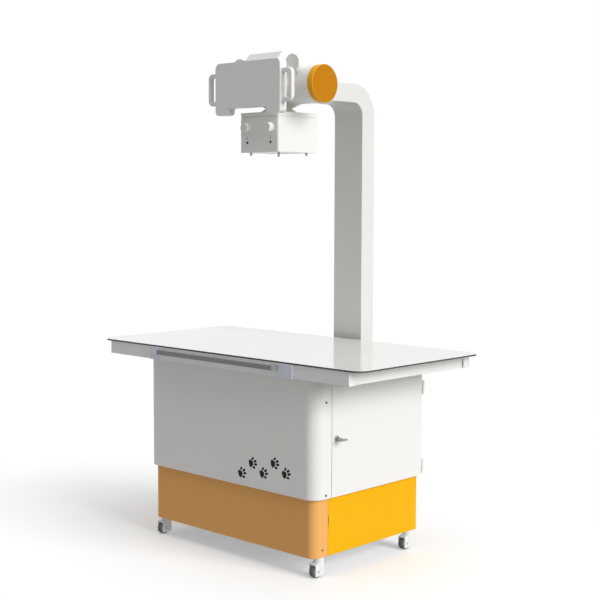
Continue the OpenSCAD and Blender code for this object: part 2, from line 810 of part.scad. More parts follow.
// X-ray tube insert: glass envelope on two support collars
envelope_r = 30;
envelope_l = 190;
stem_l = 50;
neck_r = 16;
collar_l = 8;
module xray_tube() {
    r = housing_r - housing_wall - slide_gap;
    half = envelope_l / 2;
    stem = half + stem_l;
    color(glass) translate([0, beam, tube_h]) rotate([0, 90, 0]) rotate_extrude() union() {
        translate([0, -stem]) square([neck_r, 2 * stem]);
        translate([0, -half + envelope_r / 2]) square([envelope_r, envelope_l - envelope_r]);
        polygon([[0, -half], [neck_r, -half], [envelope_r, -half + envelope_r / 2],
            [envelope_r, half - envelope_r / 2], [neck_r, half], [0, half]]);
        for (z = [-stem, stem - collar_l]) translate([0, z]) square([r, collar_l]);
    }
}

// Round shoulders over the housing
shoulder_r = 33;
shoulder_x = 132;
shoulder_h = 69;
shoulder_proud = 4;
module shoulder_caps() {
    l = housing_d + 2 * shoulder_proud;
    color(white) difference() {
        for (side = [-1, 1])
            translate([side * shoulder_x, beam + l / 2, tube_h + shoulder_h]) rotate([90, 0, 0])
                cylinder(r = shoulder_r, h = l);
        translate([-housing_l / 2, beam, tube_h]) rotate([0, 90, 0])
            cylinder(r = housing_r + seat_gap, h = housing_l);
    }
}

// Cover between the control panel and the housing, with a sloping front
cover_w = 165;
cover_top = 36;
cover_step = 4;
cover_run = 37;
module top_cover() {
    y0 = console_back;
    ridge = beam - housing_r;
    y1 = beam + housing_r / 3;
    z1 = console_top + cover_top;
    color(white) difference() {
        translate([-cover_w / 2, 0, 0]) rotate([90, 0, 90]) linear_extrude(cover_w)
            polygon([[y0, tube_h - housing_r / 2], [y0, console_top - cover_step],
                [ridge - cover_run, console_top - cover_step], [ridge, z1], [y1, z1], [y1, tube_h],
                [ridge, tube_h - housing_r / 2]]);
        translate([-cover_w / 2 - cut, beam, tube_h]) rotate([0, 90, 0])
            cylinder(r = housing_r + seat_gap, h = cover_w + 2 * cut);
    }
}

// Control panel: a shallow case with two feet
module console_outline(inset) {
    x = console_w / 2 - inset;
    z0 = console_bottom + inset;
    z1 = console_top - inset;
    zl = console_bottom - lobe_drop + inset;
    r = console_r - inset;
    w = lobe_w - 2 * inset;
    rl = r * 3 / 4;
    translate([-x, z0]) square([2 * x, z1 - z0 - r]);
    translate([-x + r, z0]) square([2 * (x - r), z1 - z0]);
    for (side = [-1, 1]) {
        translate([side * (x - r), z1 - r]) circle(r = r);
        translate([side * (x - w / 2) - w / 2, zl + rl]) square([w, z0 - zl]);
        translate([side * (x - w / 2) - w / 2 + rl, zl]) square([w - 2 * rl, z0 - zl]);
        for (edge = [-1, 1])
            translate([side * (x - w / 2) + edge * (w / 2 - rl), zl + rl]) circle(r = rl);
    }
}
module control_panel() {
    color(white) difference() {
        translate([0, console_back, 0]) rotate([90, 0, 0])
            linear_extrude(console_t) console_outline(0);
        translate([0, console_back - console_wall, 0]) rotate([90, 0, 0])
            linear_extrude(console_t - 2 * console_wall) console_outline(console_wall);
    }
}

// Side handles: a rounded bar swept round two corners, with a foot at each end
handle_back = 8;
handle_drop = 10;
handle_y = console_face + handle_back;
handle_z = (console_top + console_bottom) / 2 - handle_drop;
handle_bend = 4;
handle_edge = 5;
handle_r = handle_bar + handle_bend;
handle_lip = 5;
handle_foot_t = 3;
module handle_section() {
    rounded_plan(handle_bar, handle_depth, handle_edge);
}
module side_handle(side) {
    x = console_w / 2;
    d = handle_bar;
    run = handle_reach - handle_r;
    color(white) translate([side > 0 ? x : -x, handle_y + handle_depth / 2, handle_z])
        mirror([side > 0 ? 0 : 1, 0, 0]) {
            for (up = [-1, 1]) {
                translate([0, 0, up * (handle_h - d) / 2]) rotate([0, 90, 0]) {
                    linear_extrude(run) handle_section();
                    linear_extrude(handle_foot_t)
                        rounded_plan(d + handle_lip, handle_depth + handle_lip, handle_edge);
                }
                translate([run, 0, up * (handle_h / 2 - handle_r)])
                    rotate([90, up > 0 ? 0 : 90, 0]) rotate_extrude(angle = 90)
                        translate([handle_r - d / 2, 0]) handle_section();
            }
            translate([handle_reach - d / 2, 0, -handle_h / 2 + handle_r])
                linear_extrude(handle_h - 2 * handle_r) handle_section();
        }
}

// Neck: a waisted casting between the housing and the collimator
neck_top_r = 82;
neck_waist_r = 48;
neck_flange_r = 66;
neck_flange_t = 4;
neck_lap = 6;
waist_share = 0.45;
neck_z0 = coll_top + slide_gap;
neck_z1 = tube_h - housing_r + neck_lap;
spigot_r = 40;
spigot_l = 10;
module neck() {
    waist_z = neck_z0 + (neck_z1 - neck_z0) * waist_share;
    color(white) difference() {
        union() {
            translate([0, beam, 0]) rotate_extrude() polygon([
                [port_r, neck_z0], [neck_flange_r, neck_z0], [neck_flange_r, neck_z0 + neck_flange_t],
                [neck_waist_r, waist_z], [neck_waist_r, waist_z + neck_flange_t / 2],
                [neck_top_r, neck_z1], [port_r, neck_z1]]);
            translate([0, beam, neck_z0 - spigot_l]) difference() {
                cylinder(r = spigot_r, h = spigot_l + cut);
                translate([0, 0, -cut]) cylinder(r = port_r, h = spigot_l + 3 * cut);
            }
        }
        translate([-neck_top_r - cut, beam, tube_h]) rotate([0, 90, 0])
            cylinder(r = housing_r + seat_gap, h = 2 * (neck_top_r + cut));
    }
}

// Collimator: cover with the bore for the neck, body, window, feet and knobs
coll_r = 8;
groove_h = 3;
groove_d = 3;
coll_joint = coll_top - coll_cover_h;
module collimator_cover() {
    color(white) translate([0, beam, 0]) difference() {
        union() {
            translate([0, 0, coll_joint + groove_h / 2])
                linear_extrude(coll_cover_h - groove_h / 2) rounded_plan(coll_w, coll_d, coll_r);
            translate([0, 0, coll_joint]) linear_extrude(groove_h)
                rounded_plan(coll_w - 2 * groove_d, coll_d - 2 * groove_d, coll_r - groove_d);
        }
        translate([0, 0, coll_joint - cut]) cylinder(r = spigot_r + run_gap, h = coll_cover_h + 2 * cut);
    }
}

coll_wall = 4;
window_r = 45;
module collimator_body() {
    h = coll_joint - coll_bottom;
    color(white) translate([0, beam, coll_bottom]) difference() {
        union() {
            linear_extrude(h - groove_h / 2) rounded_plan(coll_w, coll_d, coll_r);
            linear_extrude(h)
                rounded_plan(coll_w - 2 * groove_d, coll_d - 2 * groove_d, coll_r - groove_d);
        }
        translate([0, 0, coll_wall]) linear_extrude(h)
            rounded_plan(coll_w - 4 * coll_wall, coll_d - 4 * coll_wall, coll_r / 2);
        translate([-window_r, -window_r, -cut])
            cube([2 * window_r, 2 * window_r, coll_wall + 2 * cut]);
        for (side = [-1, 1])
            translate([side * knob_pitch / 2, -coll_d / 2 + 2 * coll_wall + cut, knob_h])
                rotate([90, 0, 0]) cylinder(r = knob_shaft_r + run_gap, h = 2 * coll_wall + 2 * cut);
    }
}

knob_drop = 54;
knob_h = coll_h - knob_drop;
knob_shaft_r = 4;
knob_tail = 4;
knob_draft = 1;
knob_edge = 2;
flute_n = 16;
flute_r = 3;
flute_d = 1;
flute_foot = 4;
module knob(side) {
    y = coll_y0 - slide_gap;
    color(white) translate([side * knob_pitch / 2, y, coll_bottom + knob_h]) rotate([90, 0, 0])
        difference() {
            rotate_extrude() polygon([
                [0, -2 * coll_wall - knob_tail], [knob_shaft_r, -2 * coll_wall - knob_tail],
                [knob_shaft_r, 0], [knob_d / 2, 0], [knob_d / 2 - knob_draft, knob_t - knob_edge],
                [knob_d / 2 - knob_draft - knob_edge, knob_t], [0, knob_t]]);
            for (i = [0 : flute_n - 1]) rotate(i * 360 / flute_n)
                translate([knob_d / 2 - knob_draft - flute_d + flute_r, 0, flute_foot])
                    cylinder(r = flute_r, h = knob_t);
        }
}

module collimator_window() {
    w = 2 * window_r - 2 * seat_gap;
    color(clear) translate([-w / 2, beam - w / 2, coll_bottom + seat_gap])
        cube([w, w, coll_wall - 2 * seat_gap]);
}

foot_pitch = 140;
foot_r = 4;
foot_h = 10;
module collimator_feet() {
    color(grey) for (sx = [-1, 1], sy = [-1, 1])
        translate([sx * foot_pitch / 2, beam + sy * foot_pitch / 2, coll_bottom - foot_h])
            cylinder(r = foot_r, h = foot_h);
}

// Casters: top plates with their kingpins, swivelling forks with axles, hubs and tyres
caster_plate_t = caster_h - skirt_bottom;
kingpin_r = 5;
kingpin_l = 12;
plate_x = 30;
plate_y = 54;
function caster_x(i) = corner_x[i] * (cab_w / 2 - caster_side_inset);
function caster_y(i) = corner_rear[i] == 1 ? cab_y1 - caster_rear_inset : cab_y0 + caster_front_inset;
module caster_plates() {
    color(steel) for (i = [0 : 3]) {
        translate([0, 0, skirt_bottom]) linear_extrude(caster_plate_t) intersection() {
            translate([caster_x(i) - plate_x / 2, caster_y(i) - plate_y / 2])
                square([plate_x, plate_y]);
            pan_plan();
        }
        translate([caster_x(i), caster_y(i), skirt_bottom - kingpin_l])
            cylinder(r = kingpin_r, h = kingpin_l + cut);
    }
}

fork_t = 3;
fork_gap = 1;
axle_r = 4;
hood_gap = 3;
hood_floor_gap = 7;
hood_front_share = 0.55;
race_r = 18;
fork_w = wheel_w + 2 * (fork_t + fork_gap);
module fork(i) {
    z1 = skirt_bottom - slide_gap;
    hood_r = wheel_d / 2 + hood_gap;
    color(white) translate([caster_x(i), caster_y(i), 0]) difference() {
        union() {
            intersection() {
                translate([-fork_w / 2, -caster_trail, wheel_d / 2]) rotate([0, 90, 0])
                    cylinder(r = hood_r + fork_t, h = fork_w);
                translate([-fork_w / 2, -caster_trail - hood_r * hood_front_share, hood_floor_gap])
                    cube([fork_w, 3 * hood_r, 2 * wheel_d]);
            }
            translate([0, 0, wheel_d / 2]) cylinder(r = race_r, h = z1 - wheel_d / 2);
            translate([-fork_w / 2, -caster_trail, wheel_d / 2]) rotate([0, 90, 0])
                cylinder(r = axle_r, h = fork_w);
        }
        difference() {
            translate([-wheel_w / 2 - fork_gap, -caster_trail, wheel_d / 2]) rotate([0, 90, 0])
                cylinder(r = hood_r, h = wheel_w + 2 * fork_gap);
            translate([-wheel_w / 2 - fork_gap - cut, -caster_trail, wheel_d / 2]) rotate([0, 90, 0])
                cylinder(r = axle_r, h = wheel_w + 2 * fork_gap + 2 * cut);
        }
        translate([0, 0, z1 - kingpin_l]) cylinder(r = kingpin_r + run_gap, h = kingpin_l + cut);
    }
}

tyre_t = 6;
tyre_lip = 1;
tyre_edge = 2;
tyre_round = 3;
hub_boss_share = 0.5;
hub_web_share = 0.6;
hub_step = 2;
module wheel_place(i) {
    translate([caster_x(i), caster_y(i) - caster_trail, wheel_d / 2]) rotate([0, 90, 0])
        rotate_extrude() children();
}
module hub(i) {
    r = wheel_d / 2 - tyre_t;
    w = wheel_w / 2;
    color(white) wheel_place(i) polygon([
        [axle_r + run_gap, -w], [r * hub_boss_share, -w], [r * hub_web_share, -w + hub_step],
        [r, -w + hub_step], [r, w - hub_step], [r * hub_web_share, w - hub_step],
        [r * hub_boss_share, w], [axle_r + run_gap, w]]);
}
module tyre(i) {
    r0 = wheel_d / 2 - tyre_t;
    r1 = wheel_d / 2;
    w = wheel_w / 2;
    color(rubber) wheel_place(i) polygon([
        [r0, -w + tyre_lip], [r0 + tyre_edge, -w], [r1 - tyre_round, -w],
        [r1, -w + tyre_lip + tyre_round], [r1, w - tyre_lip - tyre_round], [r1 - tyre_round, w],
        [r0 + tyre_edge, w], [r0, w - tyre_lip]]);
}

floor_pan();
corner_posts();
deck();
front_panel();
rear_panel();
left_panel();
door();
door_hinges();
cam_lock();
lock_key();
front_skirt();
rear_skirt();
column();
column_brackets();
power_unit();
tray_runners();
tray();
detector();
tray_front();
tray_handle();
tabletop();
front_rail();
rear_rail();
end_plates();
roller(0);  // roller_1
roller(1);  // roller_2
roller(2);  // roller_3
roller(3);  // roller_4
roller_brackets();
head_bearing();
head_saddle();
tube_housing();
end_cap(-1);  // left_end_cap
end_cap(1);  // right_end_cap
xray_tube();
shoulder_caps();
top_cover();
control_panel();
side_handle(-1);  // left_handle
side_handle(1);  // right_handle
neck();
collimator_cover();
collimator_body();
knob(-1);  // left_knob
knob(1);  // right_knob
collimator_window();
collimator_feet();
caster_plates();
fork(0);  // fork_1
fork(1);  // fork_2
fork(2);  // fork_3
fork(3);  // fork_4
hub(0);  // hub_1
hub(1);  // hub_2
hub(2);  // hub_3
hub(3);  // hub_4
tyre(0);  // tyre_1
tyre(1);  // tyre_2
tyre(2);  // tyre_3
tyre(3);  // tyre_4
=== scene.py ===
import json
import math

import bmesh
import bpy
from bpy.props import FloatProperty, FloatVectorProperty, IntProperty, PointerProperty
from mathutils import Matrix, Vector


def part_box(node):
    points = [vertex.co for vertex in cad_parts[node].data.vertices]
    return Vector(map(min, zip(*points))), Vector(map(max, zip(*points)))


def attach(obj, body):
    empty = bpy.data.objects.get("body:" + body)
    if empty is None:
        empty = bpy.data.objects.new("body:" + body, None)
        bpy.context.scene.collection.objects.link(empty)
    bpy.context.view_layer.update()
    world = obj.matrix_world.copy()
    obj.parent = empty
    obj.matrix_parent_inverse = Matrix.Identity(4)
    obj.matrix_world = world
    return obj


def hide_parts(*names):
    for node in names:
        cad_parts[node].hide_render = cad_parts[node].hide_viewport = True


bl_info = {
    "name": "Veterinary X-ray Table",
    "version": (1, 0, 0),
    "blender": (4, 5, 0),
    "location": "View3D > Sidebar > X-ray Table",
    "description": "Finishes, edges and small fittings of a wheeled x-ray table",
    "category": "Object",
}

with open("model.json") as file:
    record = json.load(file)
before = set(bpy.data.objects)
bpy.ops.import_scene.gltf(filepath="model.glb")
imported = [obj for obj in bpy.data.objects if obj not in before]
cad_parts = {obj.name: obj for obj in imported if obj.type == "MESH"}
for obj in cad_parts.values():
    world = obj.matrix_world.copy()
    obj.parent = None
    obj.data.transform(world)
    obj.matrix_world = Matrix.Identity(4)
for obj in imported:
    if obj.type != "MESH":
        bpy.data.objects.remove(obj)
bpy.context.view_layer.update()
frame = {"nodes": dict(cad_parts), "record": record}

ORIGIN = Vector((0, 0, 0))
X_AXIS = Vector((1, 0, 0))
Y_AXIS = Vector((0, 1, 0))
Z_AXIS = Vector((0, 0, 1))
NO_TURN = (0.0, 0.0, 0.0)
HALF_TURN = (0.0, 0.0, math.pi)

# Two points closer than this are one, and faces that meet at less than this angle are one flat face
MERGE_DISTANCE = 5e-6
FLAT_ANGLE = math.radians(0.6)


def colour_property(name, description, default):
    return FloatVectorProperty(
        name=name, description=description, subtype="COLOR", size=3, min=0.0, max=1.0, default=default
    )


def length_property(name, description, default, low=0.0, high=2.0):
    return FloatProperty(
        name=name, description=description, unit="LENGTH", default=default, min=low, max=high
    )


class PaintSettings(bpy.types.PropertyGroup):
    """Colours of the finishes"""

    white: colour_property("White paint", "Powder coat of the panels and the head", (0.88, 0.875, 0.845))
    # Painted shade: the column is white like the cabinet, and this grey is that white darkened so that the
    # column's front shows the shade
    grey: colour_property("Grey paint", "Powder coat of the column", (0.77, 0.765, 0.735))
    # Partly painted sheen: the skirt's own orange, as on the rear skirt, made paler and bluer to stand in for
    # the whitish sheen on the shaded front
    front_orange_and_painted_sheen: colour_property("Front skirt", "Pale orange of the front skirt", (0.908, 0.464, 0.147))
    side_orange: colour_property("Rear skirt", "Strong orange of the rear skirt", (0.93, 0.475, 0.002))
    cap_orange: colour_property("End caps", "Deep orange of the end caps", (0.555, 0.209, 0.002))
    cap_rim: colour_property("Cap rims", "Lighter orange round the end caps", (0.90, 0.42, 0.025))
    laminate: colour_property("Tabletop face", "Glossy face of the tabletop", (0.88, 0.885, 0.855))
    core: colour_property("Tabletop core", "Dark core of the tabletop sheet", (0.02, 0.02, 0.02))
    tray: colour_property("Tray plate", "Anodised plate of the tray", (0.725, 0.755, 0.855))
    tray_middle: colour_property("Tray recess", "Neutral strip behind the tray handle", (0.90, 0.89, 0.865))
    handle: colour_property("Tray handle", "Dark bar of the tray handle", (0.24, 0.24, 0.23))
    plastic: colour_property("White plastic", "Moulded casings, knobs and casters", (0.86, 0.86, 0.84))
    tyre: colour_property("Tyre", "Rubber of the caster tyres", (0.10, 0.10, 0.095))
    print: colour_property("Print", "Black print on the front panel", (0.015, 0.015, 0.015))


class EdgeSettings(bpy.types.PropertyGroup):
    """Rounding of the edges"""

    sheet: length_property("Sheet metal", "Rounding of folded sheet edges", 0.0008, 0.0, 0.002)
    casting: length_property("Castings", "Rounding of castings and thick parts", 0.0015, 0.0, 0.004)
    case: length_property("Cases", "Rounding of the moulded cases", 0.004, 0.0, 0.008)
    segments: IntProperty(name="Segments", description="Steps across a rounding", default=3, min=1, max=6)


class ColumnSettings(bpy.types.PropertyGroup):
    """Section and bend of the column"""

    depth: length_property("Depth", "Depth of the column and thickness of its arm", 0.070, 0.04, 0.1)
    bend: length_property("Bend", "Inside radius of the bend", 0.048, 0.02, 0.1)
    corner: length_property("Corner radius", "Corner radius of the section", 0.002, 0.0005, 0.01)


class TabletopSettings(bpy.types.PropertyGroup):
    """Layers of the tabletop sheet"""

    radius: length_property("Corner radius", "Corner radius of the sheet", 0.045, 0.0, 0.09)
    face: length_property("Face thickness", "Thickness of a white face", 0.0008, 0.0002, 0.002)
    steps: IntProperty(name="Corner steps", description="Steps round a corner", default=16, min=4, max=48)


class PawSettings(bpy.types.PropertyGroup):
    """Paw prints on the front panel"""

    count: IntProperty(name="Count", description="Number of prints", default=5, min=0, max=12)
    size: length_property("Size", "Length of one print", 0.046, 0.01, 0.08)
    stride: length_property("Stride", "Distance from one print to the next", 0.062, 0.02, 0.2)
    start_x: length_property("Start", "First print's place along the panel", 0.078, -0.4, 0.4)
    start_z: length_property("Height", "First print's height", 0.329, 0.28, 0.6)


class FittingSettings(bpy.types.PropertyGroup):
    """Screws, bolts, plugs and marks"""

    screw_d: length_property("Screw head", "Diameter of a panel screw", 0.0075, 0.004, 0.012)
    screw_h: length_property("Screw height", "Height of a panel screw", 0.0018, 0.001, 0.004)
    screw_inset: length_property("Screw inset", "Distance from the seam to a screw", 0.0275, 0.01, 0.05)
    bolt_d: length_property("Bolt head", "Width of a bracket bolt", 0.011, 0.006, 0.016)
    bolt_h: length_property("Bolt height", "Height of a bracket bolt", 0.005, 0.002, 0.01)
    axle_d: length_property("Axle cap", "Diameter of a caster's axle cap", 0.009, 0.004, 0.014)
    fork_side: length_property("Fork side", "Distance from a tyre to a fork's outer face", 0.004, 0.002, 0.01)
    rail_wall: length_property("Rail wall", "Wall of a table rail", 0.003, 0.002, 0.005)
    plug_t: length_property("Rail plug", "Thickness of a plug in a rail's end", 0.004, 0.002, 0.01)
    bezel_w: length_property("Inlet width", "Width of the mains inlet's bezel", 0.054, 0.03, 0.08)
    bezel_h: length_property("Inlet height", "Height of the mains inlet's bezel", 0.034, 0.02, 0.05)
    mark_d: length_property("Scale mark", "Diameter of the round marks on the collimator", 0.009, 0.002, 0.015)
    mark_drop: length_property("Mark drop", "Distance from a knob down to its mark", 0.0515, 0.02, 0.08)
    pointer_l: length_property("Pointer", "Length of the line above a mark", 0.014, 0.005, 0.03)


class StageSettings(bpy.types.PropertyGroup):
    """Camera and light"""

    focal_px: FloatProperty(name="Focal length", description="Focal length in pixels", default=1231.8)
    azimuth: FloatProperty(
        name="Azimuth", description="Turn of the camera", subtype="ANGLE", default=math.radians(43.613)
    )
    pitch: FloatProperty(
        name="Pitch", description="Downward tilt of the camera", subtype="ANGLE", default=math.radians(4.827)
    )
    roll: FloatProperty(
        name="Roll", description="Roll of the camera", subtype="ANGLE", default=math.radians(0.172)
    )
    camera: FloatVectorProperty(
        name="Camera", description="Place of the camera", subtype="XYZ", size=3,
        default=(3.12397, -3.22401, 1.26851),
    )
    key: FloatProperty(name="Key light", description="Strength of the lamp at the right", default=2.4)
    towards: FloatVectorProperty(
        name="Key direction", description="Where the lamp at the right stands", subtype="XYZ", size=3,
        default=(0.92, 0.05, 0.42),
    )
    top: FloatProperty(name="Top light", description="Strength of the lamp above", default=0.6)
    fill: FloatProperty(name="Fill light", description="Strength of the surrounding light", default=0.39)
    bounce: FloatProperty(name="Bounce", description="Light that the floor throws back", default=0.34)
    lift: FloatProperty(name="Shadow lift", description="How far the floor's shadow is lightened", default=0.21)
    soft: FloatProperty(
        name="Softness", description="Angle of the lamp at the right", subtype="ANGLE",
        default=math.radians(34),
    )
    top_soft: FloatProperty(
        name="Top softness", description="Angle of the lamp above", subtype="ANGLE", default=math.radians(60)
    )
    floor: length_property("Floor", "Half the side of the floor", 30.0, 1.0, 100.0)
    near: length_property("Fade start", "Distance at which the floor starts to fade", 0.7)
    far: length_property("Fade end", "Distance from which the floor is white", 1.9)


# The photograph's side in pixels, which the focal length belongs to, and the sensor's width in mm
IMAGE_SIZE = 600
SENSOR = 36.0


def settings(name):
    return getattr(bpy.context.scene, "xray_" + name)


# Node helpers


def new_material(name, colour, roughness, metallic=0.0):
    """A material with its principled shader and object coordinates"""
    material = bpy.data.materials.new(name)
    material.use_nodes = True
    tree = material.node_tree
    bsdf = tree.nodes["Principled BSDF"]
    bsdf.inputs["Base Color"].default_value = (*colour, 1.0)
    bsdf.inputs["Roughness"].default_value = roughness
    bsdf.inputs["Metallic"].default_value = metallic
    coords = tree.nodes.new("ShaderNodeTexCoord")
    return material, tree, bsdf, coords.outputs["Object"]


def noise(tree, vector, scale, detail=2.0, stretch=None):
    """Noise of a given number of cells to the metre, stretched along an axis if wanted"""
    if stretch:
        mapping = tree.nodes.new("ShaderNodeMapping")
        mapping.inputs["Scale"].default_value = stretch
        tree.links.new(vector, mapping.inputs["Vector"])
        vector = mapping.outputs["Vector"]
    node = tree.nodes.new("ShaderNodeTexNoise")
    node.inputs["Scale"].default_value = scale
    node.inputs["Detail"].default_value = detail
    tree.links.new(vector, node.inputs["Vector"])
    return node.outputs["Fac"]


def between(tree, factor, low, high, socket, dark=0.3, light=0.7):
    """Spreads a pattern, which mostly lies between dark and light, over a range of values on a socket"""
    node = tree.nodes.new("ShaderNodeMapRange")
    node.inputs["From Min"].default_value = dark
    node.inputs["From Max"].default_value = light
    node.inputs["To Min"].default_value = low
    node.inputs["To Max"].default_value = high
    tree.links.new(factor, node.inputs["Value"])
    tree.links.new(node.outputs["Result"], socket)


def tint(tree, factor, colour, other, socket):
    """Mixes two colours by a pattern"""
    node = tree.nodes.new("ShaderNodeMix")
    node.data_type = "RGBA"
    node.inputs["A"].default_value = (*colour, 1.0)
    node.inputs["B"].default_value = (*other, 1.0)
    tree.links.new(factor, node.inputs["Factor"])
    tree.links.new(node.outputs["Result"], socket)


def bump(tree, height, distance, bsdf, strength=1.0):
    node = tree.nodes.new("ShaderNodeBump")
    node.inputs["Strength"].default_value = strength
    node.inputs["Distance"].default_value = distance
    tree.links.new(height, node.inputs["Height"])
    tree.links.new(node.outputs["Normal"], bsdf.inputs["Normal"])


def seen_rays(tree):
    """1 for camera, glossy and transmission rays, which show what stands behind the object"""
    rays = tree.nodes.new("ShaderNodeLightPath")
    value = rays.outputs["Is Camera Ray"]
    for kind in ("Is Glossy Ray", "Is Transmission Ray"):
        either = tree.nodes.new("ShaderNodeMath")
        either.operation = "MAXIMUM"
        tree.links.new(value, either.inputs[0])
        tree.links.new(rays.outputs[kind], either.inputs[1])
        value = either.outputs["Value"]
    return value


def shaded(colour, share):
    return tuple(c * share for c in colour)


# Finishes


def powder_coat(name, colour, roughness=0.38, gloss=0.4):
    """Satin paint: fine orange peel, and a faint drift of tone and gloss"""
    material, tree, bsdf, place = new_material(name, colour, roughness)
    tint(tree, noise(tree, place, 5.0), colour, shaded(colour, 0.975), bsdf.inputs["Base Color"])
    between(tree, noise(tree, place, 14.0), roughness - 0.05, roughness + 0.05, bsdf.inputs["Roughness"])
    bump(tree, noise(tree, place, 700.0, 1.0), 0.00006, bsdf, 0.35)
    bsdf.inputs["Specular IOR Level"].default_value = gloss
    return material


def laminate(name, colour):
    """Glossy sheet with the faint waviness of a pressed surface"""
    material, tree, bsdf, place = new_material(name, colour, 0.09)
    tint(tree, noise(tree, place, 3.0), colour, shaded(colour, 0.985), bsdf.inputs["Base Color"])
    between(tree, noise(tree, place, 22.0), 0.06, 0.12, bsdf.inputs["Roughness"])
    bump(tree, noise(tree, place, 45.0, 1.0), 0.00002, bsdf, 0.3)
    bsdf.inputs["Specular IOR Level"].default_value = 0.38
    return material


def pressed_core(name, colour):
    """Dark core: thin layers that lie along the sheet"""
    material, tree, bsdf, place = new_material(name, colour, 0.45)
    layers = noise(tree, place, 8.0, 2.0, (1.0, 1.0, 120.0))
    tint(tree, layers, colour, shaded(colour, 2.2), bsdf.inputs["Base Color"])
    between(tree, layers, 0.4, 0.55, bsdf.inputs["Roughness"])
    return material


def brushed(name, colour, roughness, stretch):
    """Metal with fine lines along one axis"""
    material, tree, bsdf, place = new_material(name, colour, roughness, 1.0)
    lines = noise(tree, place, 60.0, 3.0, stretch)
    tint(tree, lines, colour, shaded(colour, 0.86), bsdf.inputs["Base Color"])
    between(tree, lines, roughness - 0.07, roughness + 0.07, bsdf.inputs["Roughness"])
    bump(tree, lines, 0.00004, bsdf, 0.3)
    return material


def zinc_plate(name, colour):
    """Zinc plated steel with a cloudy grain"""
    material, tree, bsdf, place = new_material(name, colour, 0.4, 1.0)
    clouds = noise(tree, place, 40.0, 4.0)
    tint(tree, clouds, colour, shaded(colour, 0.8), bsdf.inputs["Base Color"])
    between(tree, clouds, 0.3, 0.48, bsdf.inputs["Roughness"])
    bump(tree, noise(tree, place, 500.0, 2.0), 0.00004, bsdf, 0.25)
    return material


def moulded(name, colour, roughness=0.42, gloss=0.5):
    """Moulded plastic with a fine spark-eroded texture"""
    material, tree, bsdf, place = new_material(name, colour, roughness)
    tint(tree, noise(tree, place, 8.0), colour, shaded(colour, 0.97), bsdf.inputs["Base Color"])
    between(tree, noise(tree, place, 30.0), roughness - 0.05, roughness + 0.05, bsdf.inputs["Roughness"])
    bump(tree, noise(tree, place, 1400.0, 1.0), 0.00005, bsdf, 0.3)
    bsdf.inputs["Specular IOR Level"].default_value = gloss
    return material


def rubber(name, colour):
    """Rubber with a dull bloom"""
    material, tree, bsdf, place = new_material(name, colour, 0.7)
    bloom = noise(tree, place, 120.0, 4.0)
    tint(tree, bloom, colour, shaded(colour, 1.35), bsdf.inputs["Base Color"])
    between(tree, bloom, 0.6, 0.8, bsdf.inputs["Roughness"])
    bump(tree, noise(tree, place, 900.0, 2.0), 0.0001, bsdf, 0.4)
    return material


def clear_sheet(name, colour, roughness=0.03):
    """Clear plastic or glass"""
    material, tree, bsdf, place = new_material(name, colour, roughness)
    bsdf.inputs["Transmission Weight"].default_value = 0.9
    bsdf.inputs["IOR"].default_value = 1.5
    between(tree, noise(tree, place, 25.0), roughness, roughness + 0.04, bsdf.inputs["Roughness"])
    return material


def carbon_face(name, colour):
    """Detector face: a fine woven sheet under clear lacquer"""
    material, tree, bsdf, place = new_material(name, colour, 0.35)
    weave = tree.nodes.new("ShaderNodeTexChecker")
    weave.inputs["Scale"].default_value = 400.0
    tree.links.new(place, weave.inputs["Vector"])
    tint(tree, weave.outputs["Fac"], colour, shaded(colour, 1.5), bsdf.inputs["Base Color"])
    between(tree, noise(tree, place, 60.0), 0.28, 0.42, bsdf.inputs["Roughness"])
    return material


